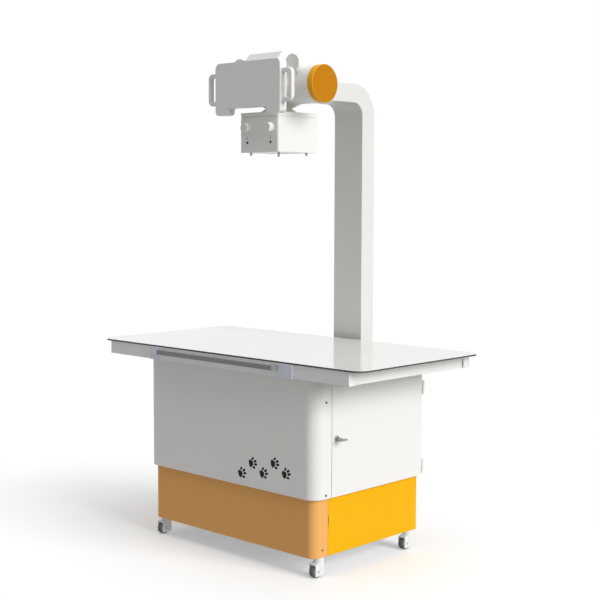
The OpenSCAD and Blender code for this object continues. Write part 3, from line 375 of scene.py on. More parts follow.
def finish(name):
    """The material of a finish, made the first time that it is asked for"""
    if name in bpy.data.materials:
        return bpy.data.materials[name]
    paint = settings("paint")
    makers = {
        "white_coat": lambda: powder_coat(name, paint.white),
        # Painted shade: the column's grey is its white paint darkened to stand in for the shade on its front
        "grey_coat": lambda: powder_coat(name, paint.grey),
        # The front skirt's orange is the skirt's own orange with a painted sheen mixed in, which makes it paler
        # and bluer than the rear skirt's
        "front_skirt_paint": lambda: powder_coat(name, paint.front_orange_and_painted_sheen, gloss=0.12),
        "rear_skirt_paint": lambda: powder_coat(name, paint.side_orange, gloss=0.12),
        "cap_orange": lambda: moulded(name, paint.cap_orange, 0.35, 0.1),
        "cap_rim": lambda: moulded(name, paint.cap_rim, 0.35, 0.1),
        "tabletop_face": lambda: laminate(name, paint.laminate),
        "tabletop_core": lambda: pressed_core(name, paint.core),
        "tray_anodised": lambda: powder_coat(name, paint.tray, 0.42),
        "rail_aluminium": lambda: powder_coat(name, paint.white, 0.42),
        "zinc": lambda: zinc_plate(name, (0.62, 0.63, 0.65)),
        "bright_steel": lambda: brushed(name, (0.66, 0.66, 0.66), 0.25, (1.0, 1.0, 14.0)),
        "lock_steel": lambda: brushed(name, (0.36, 0.355, 0.33), 0.42, (1.0, 1.0, 14.0)),
        "dark_handle": lambda: moulded(name, paint.handle, 0.45),
        "moulded_white": lambda: moulded(name, paint.plastic),
        "black_plastic": lambda: moulded(name, (0.03, 0.03, 0.03), 0.4),
        "case_grey": lambda: powder_coat(name, (0.28, 0.28, 0.28), 0.45),
        "stud_grey": lambda: powder_coat(name, (0.50, 0.50, 0.49), 0.4),
        "tyre_rubber": lambda: rubber(name, paint.tyre),
        "black_print": lambda: moulded(name, paint.print, 0.5, 0.1),
        "window_clear": lambda: clear_sheet(name, (0.9, 0.93, 0.9)),
        "envelope_glass": lambda: clear_sheet(name, (0.8, 0.9, 0.92)),
        "detector_face": lambda: carbon_face(name, (0.03, 0.03, 0.035)),
        "screw_black": lambda: brushed(name, (0.07, 0.07, 0.07), 0.35, (1.0, 1.0, 1.0)),
        "screw_brown": lambda: moulded(name, shaded(paint.front_orange_and_painted_sheen, 0.35), 0.4),
        "tray_middle": lambda: powder_coat(name, paint.tray_middle, 0.42),
        "pale_print": lambda: moulded(name, (0.75, 0.76, 0.75), 0.5),
    }
    return makers[name]()


# Mesh helpers


def mesh_piece(name, bm, material, body):
    """Turns a bmesh into a piece that rides on a body"""
    mesh = bpy.data.meshes.new(name)
    bm.to_mesh(mesh)
    bm.free()
    piece = bpy.data.objects.new(name, mesh)
    bpy.context.scene.collection.objects.link(piece)
    for one in material if isinstance(material, list) else [material]:
        mesh.materials.append(finish(one))
    return settle(piece, body)


def settle(piece, body):
    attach(piece, body)
    return piece


def body_of(node):
    return next(b for b, nodes in frame["record"]["behaviour"]["bodies"].items() if node in nodes)


def bake_modifiers(piece):
    """Replaces a piece's mesh by its evaluated one and removes its modifiers"""
    graph = bpy.context.evaluated_depsgraph_get()
    mesh = bpy.data.meshes.new_from_object(piece.evaluated_get(graph))
    mesh.name = piece.name
    piece.modifiers.clear()
    piece.data = mesh


def rounded(piece, width, crease=math.radians(32)):
    """Rounds a piece's creases and keeps its flat faces flat"""
    bevel = piece.modifiers.new("edges", "BEVEL")
    bevel.width = width
    bevel.segments = settings("edges").segments
    bevel.limit_method = "ANGLE"
    bevel.angle_limit = crease
    bevel.use_clamp_overlap = True
    bevel.miter_outer = "MITER_ARC"
    weight = piece.modifiers.new("normals", "WEIGHTED_NORMAL")
    weight.weight = 90
    weight.keep_sharp = True
    for polygon in piece.data.polygons:
        polygon.use_smooth = True
    bake_modifiers(piece)
    return piece


def merged_copy(node):
    """A bmesh of a frame node, its flat faces split anew so that none winds round a hole"""
    source = frame["nodes"][node].data
    bm = bmesh.new()
    verts = [bm.verts.new(v.co) for v in source.vertices]
    for polygon in source.polygons:
        bm.faces.new([verts[i] for i in polygon.vertices])
    bmesh.ops.remove_doubles(bm, verts=bm.verts, dist=MERGE_DISTANCE)
    bmesh.ops.dissolve_limit(bm, angle_limit=FLAT_ANGLE, verts=bm.verts, edges=bm.edges)
    large = [face for face in bm.faces if len(face.verts) > 4]
    bmesh.ops.triangulate(bm, faces=large, quad_method="BEAUTY", ngon_method="BEAUTY")
    return bm


def dressed(node, material, width):
    """A frame node with rounded edges and its finish, in the node's own place"""
    piece = mesh_piece(node + "_shell", merged_copy(node), material, body_of(node))
    rounded(piece, width)
    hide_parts(node)
    return piece


def plain(node, material):
    """A frame node that keeps its mesh and gets its finish"""
    mesh = frame["nodes"][node].data
    mesh.materials.clear()
    mesh.materials.append(finish(material))


def ring_stack(bm, rings):
    """A closed shape from loops of points that run anticlockwise as seen from the last one"""
    for low, high in zip(rings, rings[1:]):
        for i in range(len(low)):
            j = (i + 1) % len(low)
            bm.faces.new((low[i], low[j], high[j], high[i]))
    bm.faces.new(list(reversed(rings[0])))
    bm.faces.new(rings[-1])


def disc(bm, centre, radius, height, axis, sides=32, rim=0.25, recess=None, taper=0.9, depth=0.65):
    """A low round head with a chamfered rim and, if wanted, a sunk socket, as shares of its size"""
    side = axis.orthogonal().normalized()
    other = axis.cross(side)

    def ring(r, h):
        angles = (math.tau * i / sides for i in range(sides))
        return [
            bm.verts.new(centre + axis * h + (side * math.cos(a) + other * math.sin(a)) * r) for a in angles
        ]

    rings = [ring(radius, 0.0), ring(radius, height * (1 - rim)), ring(radius - height * rim, height)]
    if recess:
        rings += [ring(radius * recess, height), ring(radius * recess * taper, height * (1 - depth))]
    ring_stack(bm, rings)


def plate(bm, centre, width, height, corner, thick, out, up, rim=0.0006, field=0.0, sunk=0.0):
    """A rounded plate with a chamfered rim and, if wanted, a sunk field inside its border"""
    across = up.cross(out)
    steps = 4
    least = 0.0001

    def ring(inset, h):
        r = max(corner - inset, least)
        loop = []
        for i, (sx, sy) in enumerate(((1, 1), (-1, 1), (-1, -1), (1, -1))):
            cx, cy = (width / 2 - inset - r) * sx, (height / 2 - inset - r) * sy
            for k in range(steps + 1):
                a = math.pi / 2 * (i + k / steps)
                x, y = cx + r * math.cos(a), cy + r * math.sin(a)
                loop.append(bm.verts.new(centre + out * h + across * x + up * y))
        return loop

    rings = [ring(0.0, 0.0), ring(0.0, thick - rim), ring(rim, thick)]
    if sunk:
        rings += [ring(rim + field, thick), ring(rim + field + sunk / 4, thick - sunk)]
    ring_stack(bm, rings)


# Geometry Nodes helpers


def node_tree(name, inputs):
    """A geometry tree with named inputs and one geometry output"""
    tree = bpy.data.node_groups.new(name, "GeometryNodeTree")
    tree.interface.new_socket("Geometry", in_out="INPUT", socket_type="NodeSocketGeometry")
    for label, kind in inputs:
        tree.interface.new_socket(label, in_out="INPUT", socket_type="NodeSocket" + kind)
    tree.interface.new_socket("Geometry", in_out="OUTPUT", socket_type="NodeSocketGeometry")
    start = tree.nodes.new("NodeGroupInput")
    end = tree.nodes.new("NodeGroupOutput")
    return tree, start, end


def close_tree(tree, start, end, shape):
    """Ends a tree: its copies are made real and get the finish"""
    link = tree.links.new
    realize = tree.nodes.new("GeometryNodeRealizeInstances")
    paint = tree.nodes.new("GeometryNodeSetMaterial")
    link(shape, realize.inputs["Geometry"])
    link(realize.outputs["Geometry"], paint.inputs["Geometry"])
    link(start.outputs["Finish"], paint.inputs["Material"])
    link(paint.outputs["Geometry"], end.inputs["Geometry"])
    return tree


def add_tree(piece, tree, values):
    """Adds the tree to a piece with its inputs set by their identifiers, and keeps the result"""
    modifier = piece.modifiers.new(tree.name, "NODES")
    modifier.node_group = tree
    for item in tree.interface.items_tree:
        if item.item_type == "SOCKET" and item.in_out == "INPUT" and item.name in values:
            modifier[item.identifier] = values[item.name]
    bake_modifiers(piece)


def points_piece(name, places, turns=None):
    """Loose points, each with its own turn, for a tree to set copies on"""
    mesh = bpy.data.meshes.new(name)
    mesh.from_pydata([tuple(p) for p in places], [], [])
    attribute = mesh.attributes.new("turn", "FLOAT_VECTOR", "POINT")
    for i in range(len(places)):
        attribute.data[i].vector = turns[i] if turns else NO_TURN
    piece = bpy.data.objects.new(name, mesh)
    bpy.context.scene.collection.objects.link(piece)
    return piece


def copies_tree(name):
    """Sets a copy of the template on each point, turned by the point's own angles"""
    tree, start, end = node_tree(name, [("Template", "Object"), ("Scale", "Float"), ("Finish", "Material")])
    add = tree.nodes.new
    link = tree.links.new
    info = add("GeometryNodeObjectInfo")
    turn = add("GeometryNodeInputNamedAttribute")
    turn.data_type = "FLOAT_VECTOR"
    turn.inputs["Name"].default_value = "turn"
    to_points = add("GeometryNodeMeshToPoints")
    on_points = add("GeometryNodeInstanceOnPoints")
    link(start.outputs["Geometry"], to_points.inputs["Mesh"])
    link(start.outputs["Template"], info.inputs["Object"])
    link(to_points.outputs["Points"], on_points.inputs["Points"])
    link(info.outputs["Geometry"], on_points.inputs["Instance"])
    link(turn.outputs["Attribute"], on_points.inputs["Rotation"])
    link(start.outputs["Scale"], on_points.inputs["Scale"])
    return close_tree(tree, start, end, on_points.outputs["Instances"])


def sweep_tree(name):
    """Sweeps a rounded rectangle along the piece's own line, whose corners become bends"""
    sizes = [(label, "Float") for label in ("Width", "Depth", "Bend", "Corner")]
    tree, start, end = node_tree(name, sizes + [("Finish", "Material")])
    add = tree.nodes.new
    link = tree.links.new
    path = add("GeometryNodeMeshToCurve")
    bend = add("GeometryNodeFilletCurve")
    section = add("GeometryNodeCurvePrimitiveQuadrilateral")
    corners = add("GeometryNodeFilletCurve")
    sweep = add("GeometryNodeCurveToMesh")
    bend.mode = corners.mode = "POLY"
    bend.inputs["Count"].default_value = 24
    corners.inputs["Count"].default_value = 4
    sweep.inputs["Fill Caps"].default_value = True
    link(start.outputs["Geometry"], path.inputs["Mesh"])
    link(path.outputs["Curve"], bend.inputs["Curve"])
    link(start.outputs["Bend"], bend.inputs["Radius"])
    link(start.outputs["Width"], section.inputs["Width"])
    link(start.outputs["Depth"], section.inputs["Height"])
    link(section.outputs["Curve"], corners.inputs["Curve"])
    link(start.outputs["Corner"], corners.inputs["Radius"])
    link(bend.outputs["Curve"], sweep.inputs["Curve"])
    link(corners.outputs["Curve"], sweep.inputs["Profile Curve"])
    return close_tree(tree, start, end, sweep.outputs["Mesh"])


def repeated(name, template, places, turns, material, body, scale=1.0):
    """Copies of a template mesh at the places given, as one piece"""
    mesh = bpy.data.meshes.new(name + "_template")
    template.to_mesh(mesh)
    template.free()
    model = bpy.data.objects.new(name + "_template", mesh)
    bpy.context.scene.collection.objects.link(model)
    piece = points_piece(name, places, turns)
    add_tree(piece, copies_tree(name), {"Template": model, "Scale": scale, "Finish": finish(material)})
    bpy.data.objects.remove(model)
    return settle(piece, body)


# Pieces


class XRAY_OT_tabletop(bpy.types.Operator):
    """Makes the tabletop sheet with its two white faces and its dark core"""

    bl_idname = "xray.tabletop"
    bl_label = "Tabletop"

    def execute(self, context):
        top = settings("tabletop")
        low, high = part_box("tabletop")
        bm = bmesh.new()
        lip = 0.0004

        def outline(z, inset):
            r = top.radius - inset
            loop = []
            for i, (sx, sy) in enumerate(((1, 1), (-1, 1), (-1, -1), (1, -1))):
                cx = (high.x - top.radius) * sx
                cy = (high.y if sy > 0 else low.y) - top.radius * sy
                for k in range(top.steps + 1):
                    a = math.pi / 2 * (i + k / top.steps)
                    loop.append(bm.verts.new((cx + r * math.cos(a), cy + r * math.sin(a), z)))
            return loop

        levels = [
            (low.z, lip), (low.z + lip, 0.0), (low.z + top.face, 0.0),
            (high.z - top.face, 0.0), (high.z - lip, 0.0), (high.z, lip),
        ]
        rings = [outline(z, inset) for z, inset in levels]
        n = len(rings[0])
        for level, (a, b) in enumerate(zip(rings, rings[1:])):
            for i in range(n):
                face = bm.faces.new((a[i], a[(i + 1) % n], b[(i + 1) % n], b[i]))
                face.material_index = 1 if level == 2 else 0
        bm.faces.new(list(reversed(rings[0])))
        bm.faces.new(rings[-1])
        piece = mesh_piece(
            "tabletop_sheet", bm, ["tabletop_face", "tabletop_core"], "table"
        )
        for polygon in piece.data.polygons:
            polygon.use_smooth = len(polygon.vertices) == 4
        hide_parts("tabletop")
        return {"FINISHED"}


class XRAY_OT_rails(bpy.types.Operator):
    """Dresses the rails, end plates, rollers and roller brackets"""

    bl_idname = "xray.rails"
    bl_label = "Rails and rollers"

    def execute(self, context):
        edges = settings("edges")
        for node in ("front_rail", "rear_rail"):
            dressed(node, "rail_aluminium", edges.sheet)
        dressed("end_plates", "white_coat", edges.sheet)
        dressed("roller_brackets", "zinc", edges.sheet)
        for i in range(1, 5):
            dressed(f"roller_{i}", "moulded_white", edges.sheet)
        self.plugs()
        return {"FINISHED"}

    def plugs(self):
        """White plugs that close both ends of both rails"""
        fit = settings("fittings")
        wall, thick = fit.rail_wall, fit.plug_t
        setback, play, corner = 0.001, 0.0004, 0.002
        places, turns = [], []
        for node, inwards in (("front_rail", 1), ("rear_rail", -1)):
            low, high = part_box(node)
            depth, height = high.y - low.y - wall, high.z - low.z - 2 * wall
            y = (low.y + high.y + inwards * wall) / 2
            for side in (1, -1):
                places.append((side * (high.x - thick - setback), y, (low.z + high.z) / 2))
                turns.append(NO_TURN if side > 0 else HALF_TURN)
        bm = bmesh.new()
        plate(
            bm, ORIGIN, depth - play, height - play, corner, thick, X_AXIS, Z_AXIS,
            field=0.0015, sunk=0.001,
        )
        repeated("rail_plugs", bm, places, turns, "moulded_white", "table")


class XRAY_OT_tray(bpy.types.Operator):
    """Dresses the detector tray, its runners, front plate and handle"""

    bl_idname = "xray.tray"
    bl_label = "Detector tray"

    def execute(self, context):
        edges = settings("edges")
        self.front_plate(dressed("tray_front", ["tray_anodised", "tray_middle"], edges.sheet))
        dressed("tray_handle", "dark_handle", edges.casting)
        dressed("tray", "zinc", edges.sheet)
        dressed("tray_runners", "zinc", edges.sheet)
        dressed("detector", "detector_face", edges.casting)
        self.detector_border()
        return {"FINISHED"}

    def front_plate(self, piece):
        """Gives the shallow recess behind the handle its neutral grey"""
        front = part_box("tray_front")[0].y
        depth, play = 0.001, 0.0005
        for polygon in piece.data.polygons:
            if polygon.normal.y < -0.9 and abs(polygon.center.y - front - depth) < play:
                polygon.material_index = 1

    def detector_border(self):
        """Thin pale line round the field on the detector, and a small cross at its middle"""
        low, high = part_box("detector")
        margin, line, thick, rim, cross = 0.018, 0.0015, 0.0003, 0.0001, 0.012
        x, y = high.x - margin, (high.y - low.y) / 2 - margin
        middle = Vector((0, (low.y + high.y) / 2, high.z))
        bm = bmesh.new()
        for dx, dy, width, height in (
            (0, y, 2 * x, line), (x, 0, line, 2 * y), (0, 0, cross, line),
            (0, -y, 2 * x, line), (-x, 0, line, 2 * y), (0, 0, line, cross),
        ):
            plate(bm, middle + Vector((dx, dy, 0)), width, height, line / 3, thick, Z_AXIS, Y_AXIS, rim)
        mesh_piece("detector_border", bm, "pale_print", "tray")


class XRAY_OT_cabinet(bpy.types.Operator):
    """Dresses the base plate, posts, deck, panels, door and skirt"""

    bl_idname = "xray.cabinet"
    bl_label = "Cabinet"

    def execute(self, context):
        edges = settings("edges")
        for node in ("floor_pan", "corner_posts", "deck"):
            dressed(node, "zinc", edges.sheet)
        for node in ("front_panel", "rear_panel", "left_panel", "door", "door_hinges"):
            dressed(node, "white_coat", edges.sheet)
        # The front skirt gets the skirt orange with its painted sheen, the rear skirt the plain orange
        dressed("front_skirt", "front_skirt_paint", edges.sheet)
        dressed("rear_skirt", "rear_skirt_paint", edges.sheet)
        dressed("cam_lock", "lock_steel", edges.sheet)
        dressed("lock_key", "lock_steel", edges.sheet)
        self.mains_inlet()
        return {"FINISHED"}

    def mains_inlet(self):
        """Bezel and three flat pins of the mains inlet on the rear panel"""
        fit = settings("fittings")
        low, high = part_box("power_unit")
        drop, corner, thick = 0.0325, 0.004, 0.003
        centre = Vector(((low.x + high.x) / 2, high.y, high.z - drop))
        bm = bmesh.new()
        plate(
            bm, centre, fit.bezel_w, fit.bezel_h, corner, thick, Y_AXIS, Z_AXIS, field=0.007, sunk=0.0024
        )
        mesh_piece("inlet_bezel", bm, "black_plastic", "base")
        pin_w, pin_h, pin_l, pin_corner, rim = 0.002, 0.005, 0.002, 0.0004, 0.0003
        pitch, down, rise, lift = 0.007, 0.002, 0.003, 0.0004
        bm = bmesh.new()
        for x, z in ((-pitch, -down), (0.0, rise), (pitch, -down)):
            place = centre + Vector((x, lift, z))
            plate(bm, place, pin_w, pin_h, pin_corner, pin_l, Y_AXIS, Z_AXIS, rim)
        mesh_piece("inlet_pins", bm, "bright_steel", "base")


class XRAY_OT_column(bpy.types.Operator):
    """Dresses the column and the brackets that carry it"""

    bl_idname = "xray.column"
    bl_label = "Column"

    def execute(self, context):
        edges = settings("edges")
        self.goose_neck(edges)
        # The brackets and the bearing take the same darkened grey, the column's painted shade
        dressed("column_brackets", "grey_coat", edges.casting)
        dressed("head_bearing", "grey_coat", edges.casting)
        dressed("power_unit", "case_grey", edges.sheet)
        self.bolts()
        return {"FINISHED"}

    def goose_neck(self, edges):
        """Sweeps the column's section up and round its bend"""
        column = settings("column")
        low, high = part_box("column")
        y, z = high.y - column.depth / 2, high.z - column.depth / 2
        mesh = bpy.data.meshes.new("column_sweep")
        mesh.from_pydata([(0.0, y, low.z), (0.0, y, z), (0.0, low.y, z)], [(0, 1), (1, 2)], [])
        piece = bpy.data.objects.new("column_sweep", mesh)
        bpy.context.scene.collection.objects.link(piece)
        # The column gets the darkened grey: painted shade on what is white paint
        sizes = {
            "Width": high.x - low.x, "Depth": column.depth, "Bend": column.bend + column.depth / 2,
            "Corner": column.corner, "Finish": finish("grey_coat"),
        }
        add_tree(piece, sweep_tree("column_sweep"), sizes)
        rounded(piece, edges.sheet)
        settle(piece, "base")
        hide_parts("column")

    def bolts(self):
        """Hexagon bolts with washers in the flanges of the two column brackets"""
        fit = settings("fittings")
        low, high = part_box("column_brackets")
        # Thickness of a flange, height of a bracket, and a bolt's distance from the flange's two edges
        flange, tall, ear, reach = 0.008, 0.136, 0.0095, 0.028
        washer_r, washer_t = fit.bolt_d * 0.75, 0.001
        places, turns = [], []
        for z0 in (low.z, high.z - tall):
            for z in (z0 + reach, z0 + tall - reach):
                for side in (1, -1):
                    x = side * (high.x - ear)
                    places += [(x, low.y + flange, z), (x, high.y - flange, z)]
                    turns += [NO_TURN, HALF_TURN]
        bm = bmesh.new()
        disc(bm, ORIGIN, fit.bolt_d / 2, fit.bolt_h, Y_AXIS, sides=6, rim=0.15)
        disc(bm, ORIGIN, washer_r, washer_t, Y_AXIS)
        repeated("bracket_bolts", bm, places, turns, "zinc", "base")


class XRAY_OT_tube_head(bpy.types.Operator):
    """Dresses the saddle, housing, end caps, shoulders and top cover"""

    bl_idname = "xray.tube_head"
    bl_label = "Tube head"

    def execute(self, context):
        edges = settings("edges")
        for node in ("head_saddle", "tube_housing", "shoulder_caps", "top_cover"):
            dressed(node, "white_coat", edges.casting)
        facing_out = 0.8
        for node in ("left_end_cap", "right_end_cap"):
            cap = dressed(node, ["cap_orange", "cap_rim"], edges.casting)
            for polygon in cap.data.polygons:
                polygon.material_index = 0 if abs(polygon.normal.x) > facing_out else 1
        plain("xray_tube", "envelope_glass")
        return {"FINISHED"}


class XRAY_OT_console(bpy.types.Operator):
    """Dresses the control panel's case and its two handles"""

    bl_idname = "xray.console"
    bl_label = "Control panel"

    def execute(self, context):
        edges = settings("edges")
        dressed("control_panel", "moulded_white", edges.case)
        for node in ("left_handle", "right_handle"):
            dressed(node, "moulded_white", edges.sheet)
        return {"FINISHED"}


class XRAY_OT_collimator(bpy.types.Operator):
    """Dresses the neck, the collimator and its knobs, and adds its scale marks and the cross on its window"""

    bl_idname = "xray.collimator"
    bl_label = "Collimator"

    def execute(self, context):
        edges = settings("edges")
        dressed("neck", "white_coat", edges.casting)
        dressed("collimator_cover", "white_coat", edges.casting)
        dressed("collimator_body", "white_coat", edges.casting)
        for node in ("left_knob", "right_knob"):
            dressed(node, "moulded_white", edges.casting)
        dressed("collimator_feet", "stud_grey", edges.sheet)
        plain("collimator_window", "window_clear")
        self.marks()
        self.cross_hairs()
        return {"FINISHED"}

    def marks(self):
        """Black round marks under the knobs, each with a thin line above it"""
        fit = settings("fittings")
        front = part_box("collimator_body")[0].y
        mark_t, gap, line, line_t, corner, rim = 0.001, 0.004, 0.0012, 0.0003, 0.0003, 0.0001
        places = []
        for node in ("left_knob", "right_knob"):
            a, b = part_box(node)
            places.append(((a.x + b.x) / 2, front, (a.z + b.z) / 2 - fit.mark_drop))
        bm = bmesh.new()
        disc(bm, ORIGIN, fit.mark_d / 2, mark_t, -Y_AXIS)
        repeated("scale_marks", bm, places, None, "black_print", "collimator")
        bm = bmesh.new()
        lift = Z_AXIS * (fit.mark_d / 2 + gap + fit.pointer_l / 2)
        plate(bm, lift, line, fit.pointer_l, corner, line_t, -Y_AXIS, Z_AXIS, rim)
        repeated("scale_lines", bm, places, None, "black_print", "collimator")

    def cross_hairs(self):
        """Fine black cross on the clear window"""
        low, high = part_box("collimator_window")
        centre = Vector((0.0, (low.y + high.y) / 2, low.z))
        span, line, thick, rim = high.x - low.x, 0.0008, 0.0001, 0.00003
        bm = bmesh.new()
        for width, height in ((span, line), (line, span)):
            plate(bm, centre, width, height, line / 3, thick, -Z_AXIS, Y_AXIS, rim)
        mesh_piece("window_cross", bm, "black_print", "collimator")


class XRAY_OT_casters(bpy.types.Operator):
    """Dresses the caster plates, forks, hubs and tyres"""

    bl_idname = "xray.casters"
    bl_label = "Casters"

    def execute(self, context):
        edges = settings("edges")
        dressed("caster_plates", "zinc", edges.sheet)
        for i in range(1, 5):
            dressed(f"fork_{i}", "moulded_white", edges.casting)
            dressed(f"hub_{i}", "moulded_white", edges.sheet)
            dressed(f"tyre_{i}", "tyre_rubber", edges.casting)
            self.axle_caps(i)
        return {"FINISHED"}

    def axle_caps(self, i):
        """Riveted heads of the axle on both sides of a fork"""
        fit = settings("fittings")
        low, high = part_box(f"tyre_{i}")
        half, height = (high.x - low.x) / 2 + fit.fork_side, 0.0015
        x, y, z = ((low + high) / 2)[:]
        places = [(x + half, y, z), (x - half, y, z)]
        bm = bmesh.new()
        disc(bm, ORIGIN, fit.axle_d / 2, height, X_AXIS, sides=20)
        repeated(
            f"axle_caps_{i}", bm, places, [NO_TURN, HALF_TURN], "zinc",
            body_of(f"fork_{i}"),
        )


class XRAY_OT_screws(bpy.types.Operator):
    """Adds the screws on the sides and the rear of the cabinet"""

    bl_idname = "xray.screws"
    bl_label = "Screws"

    def execute(self, context):
        fit = settings("fittings")
        low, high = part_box("front_panel")
        skirt_low, skirt_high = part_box("front_skirt")
        rear_low, rear_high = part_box("rear_panel")
        left_low, left_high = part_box("left_panel")
        seam = high.y - fit.screw_inset
        # Distances of the screws from the edges of their panel
        edge, panel_foot, panel_head, skirt_foot = 0.022, 0.0126, 0.078, 0.025
        front = [
            (side * high.x, seam, z) for side in (1, -1) for z in (low.z + panel_foot, high.z - panel_head)
        ]
        skirt = [(side * skirt_high.x, seam, skirt_low.z + skirt_foot) for side in (1, -1)]
        rear = [
            (side * (rear_high.x - edge), rear_high.y, z)
            for side in (1, -1) for z in (rear_low.z + edge, rear_high.z - edge)
        ]
        left = [
            (left_low.x, y, z)
            for y in (left_low.y + edge, left_high.y - edge) for z in (left_low.z + edge, left_high.z - edge)
        ]
        head = bmesh.new()
        disc(head, ORIGIN, fit.screw_d / 2, fit.screw_h, X_AXIS, recess=0.5)
        for name, places, material, node in (
            ("panel_screws", front, "screw_black", "front_panel"),
            ("skirt_screws", skirt, "screw_brown", "front_skirt"),
            ("rear_screws", rear, "screw_black", "rear_panel"),
            ("left_screws", left, "screw_black", "left_panel"),
        ):
            turns = [(0.0, 0.0, self.facing(p, node)) for p in places]
            repeated(name, head.copy(), places, turns, material, body_of(node))
        head.free()
        return {"FINISHED"}

    def facing(self, place, node):
        """Turn of a screw about Z, from +X to the face that it sits in"""
        if node == "rear_panel":
            return math.pi / 2
        return 0.0 if place[0] > 0 else math.pi


class XRAY_OT_paw_prints(bpy.types.Operator):
    """Adds a row of plain paw prints to the front panel"""

    bl_idname = "xray.paw_prints"
    bl_label = "Paw prints"

    def execute(self, context):
        paws = settings("paws")
        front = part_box("front_panel")[0].y
        # Run and rise of the track as shares of the stride, and its half width as a share of a print
        run, rise, spread = 0.86, 0.12, 0.38
        heading, splay = 72, 6
        places, turns = [], []
        for i in range(paws.count):
            side = 1 if i % 2 else -1
            x = paws.start_x + i * paws.stride * run
            z = paws.start_z + i * paws.stride * rise + side * paws.size * spread
            places.append((x, front, z))
            turns.append((0.0, math.radians(heading + side * splay), 0.0))
        repeated(
            "paw_prints", self.paw(), places, turns, "black_print", "base",
            paws.size,
        )
        return {"FINISHED"}

    def paw(self):
        """One print a unit long: a three-lobed pad and four toes, on the XZ plane"""
        bm = bmesh.new()
        thick = 0.004
        sides = 40

        def blob(cx, cz, rx, rz, tilt, lobes=0.0):
            front, back = [], []
            for k in range(sides):
                a = math.tau * k / sides
                swell = 1 + lobes * math.cos(3 * (a + math.pi / 2))
                x, z = rx * math.cos(a) * swell, rz * math.sin(a) * swell
                px = cx + x * math.cos(tilt) - z * math.sin(tilt)
                pz = cz + x * math.sin(tilt) + z * math.cos(tilt)
                front.append(bm.verts.new((px, -thick, pz)))
                back.append(bm.verts.new((px, 0.0, pz)))
            bm.faces.new(front)
            bm.faces.new(list(reversed(back)))
            for k in range(sides):
                j = (k + 1) % sides
                bm.faces.new((front[j], front[k], back[k], back[j]))

        # Middle, half width, half length and tilt of the pad and of each toe
        blob(0.0, -0.16, 0.28, 0.23, 0.0, -0.10)
        for cx, cz, rx, rz, tilt in (
            (-0.33, 0.10, 0.095, 0.15, 0.45), (-0.12, 0.32, 0.10, 0.17, 0.12),
            (0.12, 0.32, 0.10, 0.17, -0.12), (0.33, 0.10, 0.095, 0.15, -0.45),
        ):
            blob(cx, cz, rx, rz, tilt)
        bmesh.ops.recalc_face_normals(bm, faces=bm.faces)
        return bm


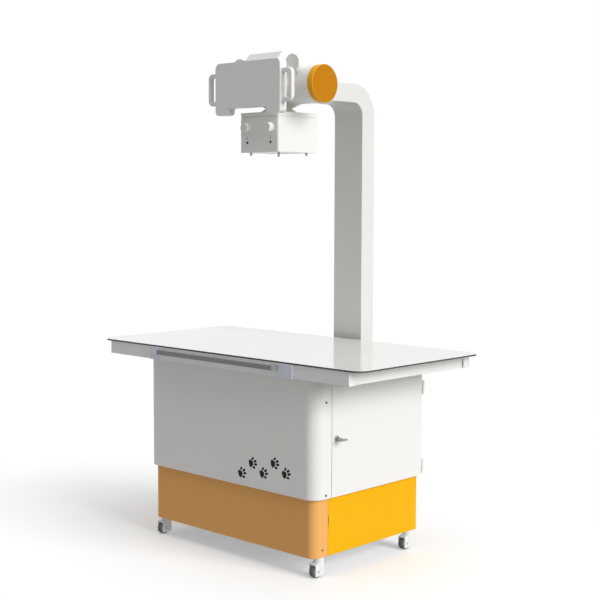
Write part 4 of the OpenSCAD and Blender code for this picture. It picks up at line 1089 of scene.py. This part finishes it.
class XRAY_OT_stage(bpy.types.Operator):
    """Makes the floor, the light and the camera"""

    bl_idname = "xray.stage"
    bl_label = "Stage"

    def execute(self, context):
        context.scene.view_settings.view_transform = "Standard"
        self.floor()
        self.world(context.scene)
        stage = settings("stage")
        self.sun("key", stage.key, Vector(stage.towards), stage.soft)
        self.sun("top", stage.top, Z_AXIS, stage.top_soft)
        self.camera(context.scene)
        return {"FINISHED"}

    def floor(self):
        half = settings("stage").floor
        corners = ((-half, -half), (half, -half), (half, half), (-half, half))
        bm = bmesh.new()
        bm.faces.new([bm.verts.new((x, y, 0.0)) for x, y in corners])
        mesh = bpy.data.meshes.new("floor")
        bm.to_mesh(mesh)
        bm.free()
        floor = bpy.data.objects.new("floor", mesh)
        bpy.context.scene.collection.objects.link(floor)
        mesh.materials.append(self.floor_material())

    def floor_material(self):
        """Pale floor that fades to white in the distance, and throws back less light than it shows"""
        stage = settings("stage")
        grey = 0.90
        material = bpy.data.materials.new("floor")
        material.use_nodes = True
        tree = material.node_tree
        add, link = tree.nodes.new, tree.links.new
        tree.nodes.clear()
        out = add("ShaderNodeOutputMaterial")
        pale = add("ShaderNodeBsdfDiffuse")
        pale.inputs["Color"].default_value = (grey, grey, grey, 1.0)
        lift = add("ShaderNodeEmission")
        lift.inputs["Strength"].default_value = stage.lift
        shown = add("ShaderNodeAddShader")
        link(pale.outputs["BSDF"], shown.inputs[0])
        link(lift.outputs["Emission"], shown.inputs[1])
        thrown = add("ShaderNodeEmission")
        thrown.inputs["Strength"].default_value = stage.bounce
        white = add("ShaderNodeEmission")
        place = add("ShaderNodeTexCoord")
        reach = add("ShaderNodeVectorMath")
        reach.operation = "LENGTH"
        fade = add("ShaderNodeMapRange")
        fade.interpolation_type = "SMOOTHSTEP"
        fade.inputs["From Min"].default_value = stage.near
        fade.inputs["From Max"].default_value = stage.far
        seen = seen_rays(tree)
        near = add("ShaderNodeMixShader")
        far = add("ShaderNodeMixShader")
        link(place.outputs["Object"], reach.inputs[0])
        link(reach.outputs["Value"], fade.inputs["Value"])
        link(seen, near.inputs["Fac"])
        link(thrown.outputs["Emission"], near.inputs[1])
        link(shown.outputs["Shader"], near.inputs[2])
        distant = add("ShaderNodeMath")
        distant.operation = "MULTIPLY"
        link(fade.outputs["Result"], distant.inputs[0])
        link(seen, distant.inputs[1])
        link(distant.outputs["Value"], far.inputs["Fac"])
        link(near.outputs["Shader"], far.inputs[1])
        link(white.outputs["Emission"], far.inputs[2])
        link(far.outputs["Shader"], out.inputs["Surface"])
        return material

    def world(self, scene):
        """White behind the object and in reflections, and a plain fill elsewhere"""
        world = bpy.data.worlds.new("studio")
        scene.world = world
        world.use_nodes = True
        tree = world.node_tree
        add, link = tree.nodes.new, tree.links.new
        tree.nodes.clear()
        out = add("ShaderNodeOutputWorld")
        white = add("ShaderNodeBackground")
        fill = add("ShaderNodeBackground")
        for background in (white, fill):
            background.inputs["Color"].default_value = (1.0, 1.0, 1.0, 1.0)
        fill.inputs["Strength"].default_value = settings("stage").fill
        mix = add("ShaderNodeMixShader")
        link(seen_rays(tree), mix.inputs["Fac"])
        link(fill.outputs["Background"], mix.inputs[1])
        link(white.outputs["Background"], mix.inputs[2])
        link(mix.outputs["Shader"], out.inputs["Surface"])

    def sun(self, name, strength, towards, angle):
        """A soft sun lamp that shines from the given direction"""
        lamp = bpy.data.lights.new(name, "SUN")
        lamp.energy = strength
        lamp.angle = angle
        obj = bpy.data.objects.new(name, lamp)
        bpy.context.scene.collection.objects.link(obj)
        obj.rotation_euler = towards.to_track_quat("Z", "Y").to_euler()

    def camera(self, scene):
        stage = settings("stage")
        lens = bpy.data.cameras.new("camera")
        lens.sensor_width = SENSOR
        lens.lens = stage.focal_px / IMAGE_SIZE * SENSOR
        lens.clip_end = 200.0
        obj = bpy.data.objects.new("camera", lens)
        scene.collection.objects.link(obj)
        turn = (
            Matrix.Rotation(stage.azimuth, 4, "Z")
            @ Matrix.Rotation(math.pi / 2 - stage.pitch, 4, "X")
            @ Matrix.Rotation(stage.roll, 4, "Z")
        )
        obj.matrix_world = Matrix.Translation(Vector(stage.camera)) @ turn
        scene.camera = obj


class XRAY_PT_panel(bpy.types.Panel):
    """Lists the pieces of the x-ray table"""

    bl_idname = "XRAY_PT_panel"
    bl_label = "X-ray Table"
    bl_space_type = "VIEW_3D"
    bl_region_type = "UI"
    bl_category = "X-ray Table"

    def draw(self, context):
        for group in GROUPS:
            box = self.layout.box()
            box.label(text=group.__doc__)
            values = settings(GROUPS[group])
            for name in group.__annotations__:
                box.prop(values, name)
        for operator in OPERATORS:
            self.layout.operator(operator.bl_idname)


GROUPS = {
    PaintSettings: "paint",
    EdgeSettings: "edges",
    ColumnSettings: "column",
    TabletopSettings: "tabletop",
    PawSettings: "paws",
    FittingSettings: "fittings",
    StageSettings: "stage",
}
OPERATORS = [
    XRAY_OT_stage,
    XRAY_OT_tabletop,
    XRAY_OT_rails,
    XRAY_OT_tray,
    XRAY_OT_cabinet,
    XRAY_OT_screws,
    XRAY_OT_paw_prints,
    XRAY_OT_column,
    XRAY_OT_tube_head,
    XRAY_OT_console,
    XRAY_OT_collimator,
    XRAY_OT_casters,
]


def register():
    for group in GROUPS:
        bpy.utils.register_class(group)
        setattr(bpy.types.Scene, "xray_" + GROUPS[group], PointerProperty(type=group))
    for cls in OPERATORS + [XRAY_PT_panel]:
        bpy.utils.register_class(cls)


def unregister():
    for cls in reversed(OPERATORS + [XRAY_PT_panel]):
        bpy.utils.unregister_class(cls)
    for group in reversed(GROUPS):
        delattr(bpy.types.Scene, "xray_" + GROUPS[group])
        bpy.utils.unregister_class(group)


def main():
    register()
    for operator in OPERATORS:
        section, name = operator.bl_idname.split(".")
        getattr(getattr(bpy.ops, section), name)()


if __name__ == "__main__":
    main()
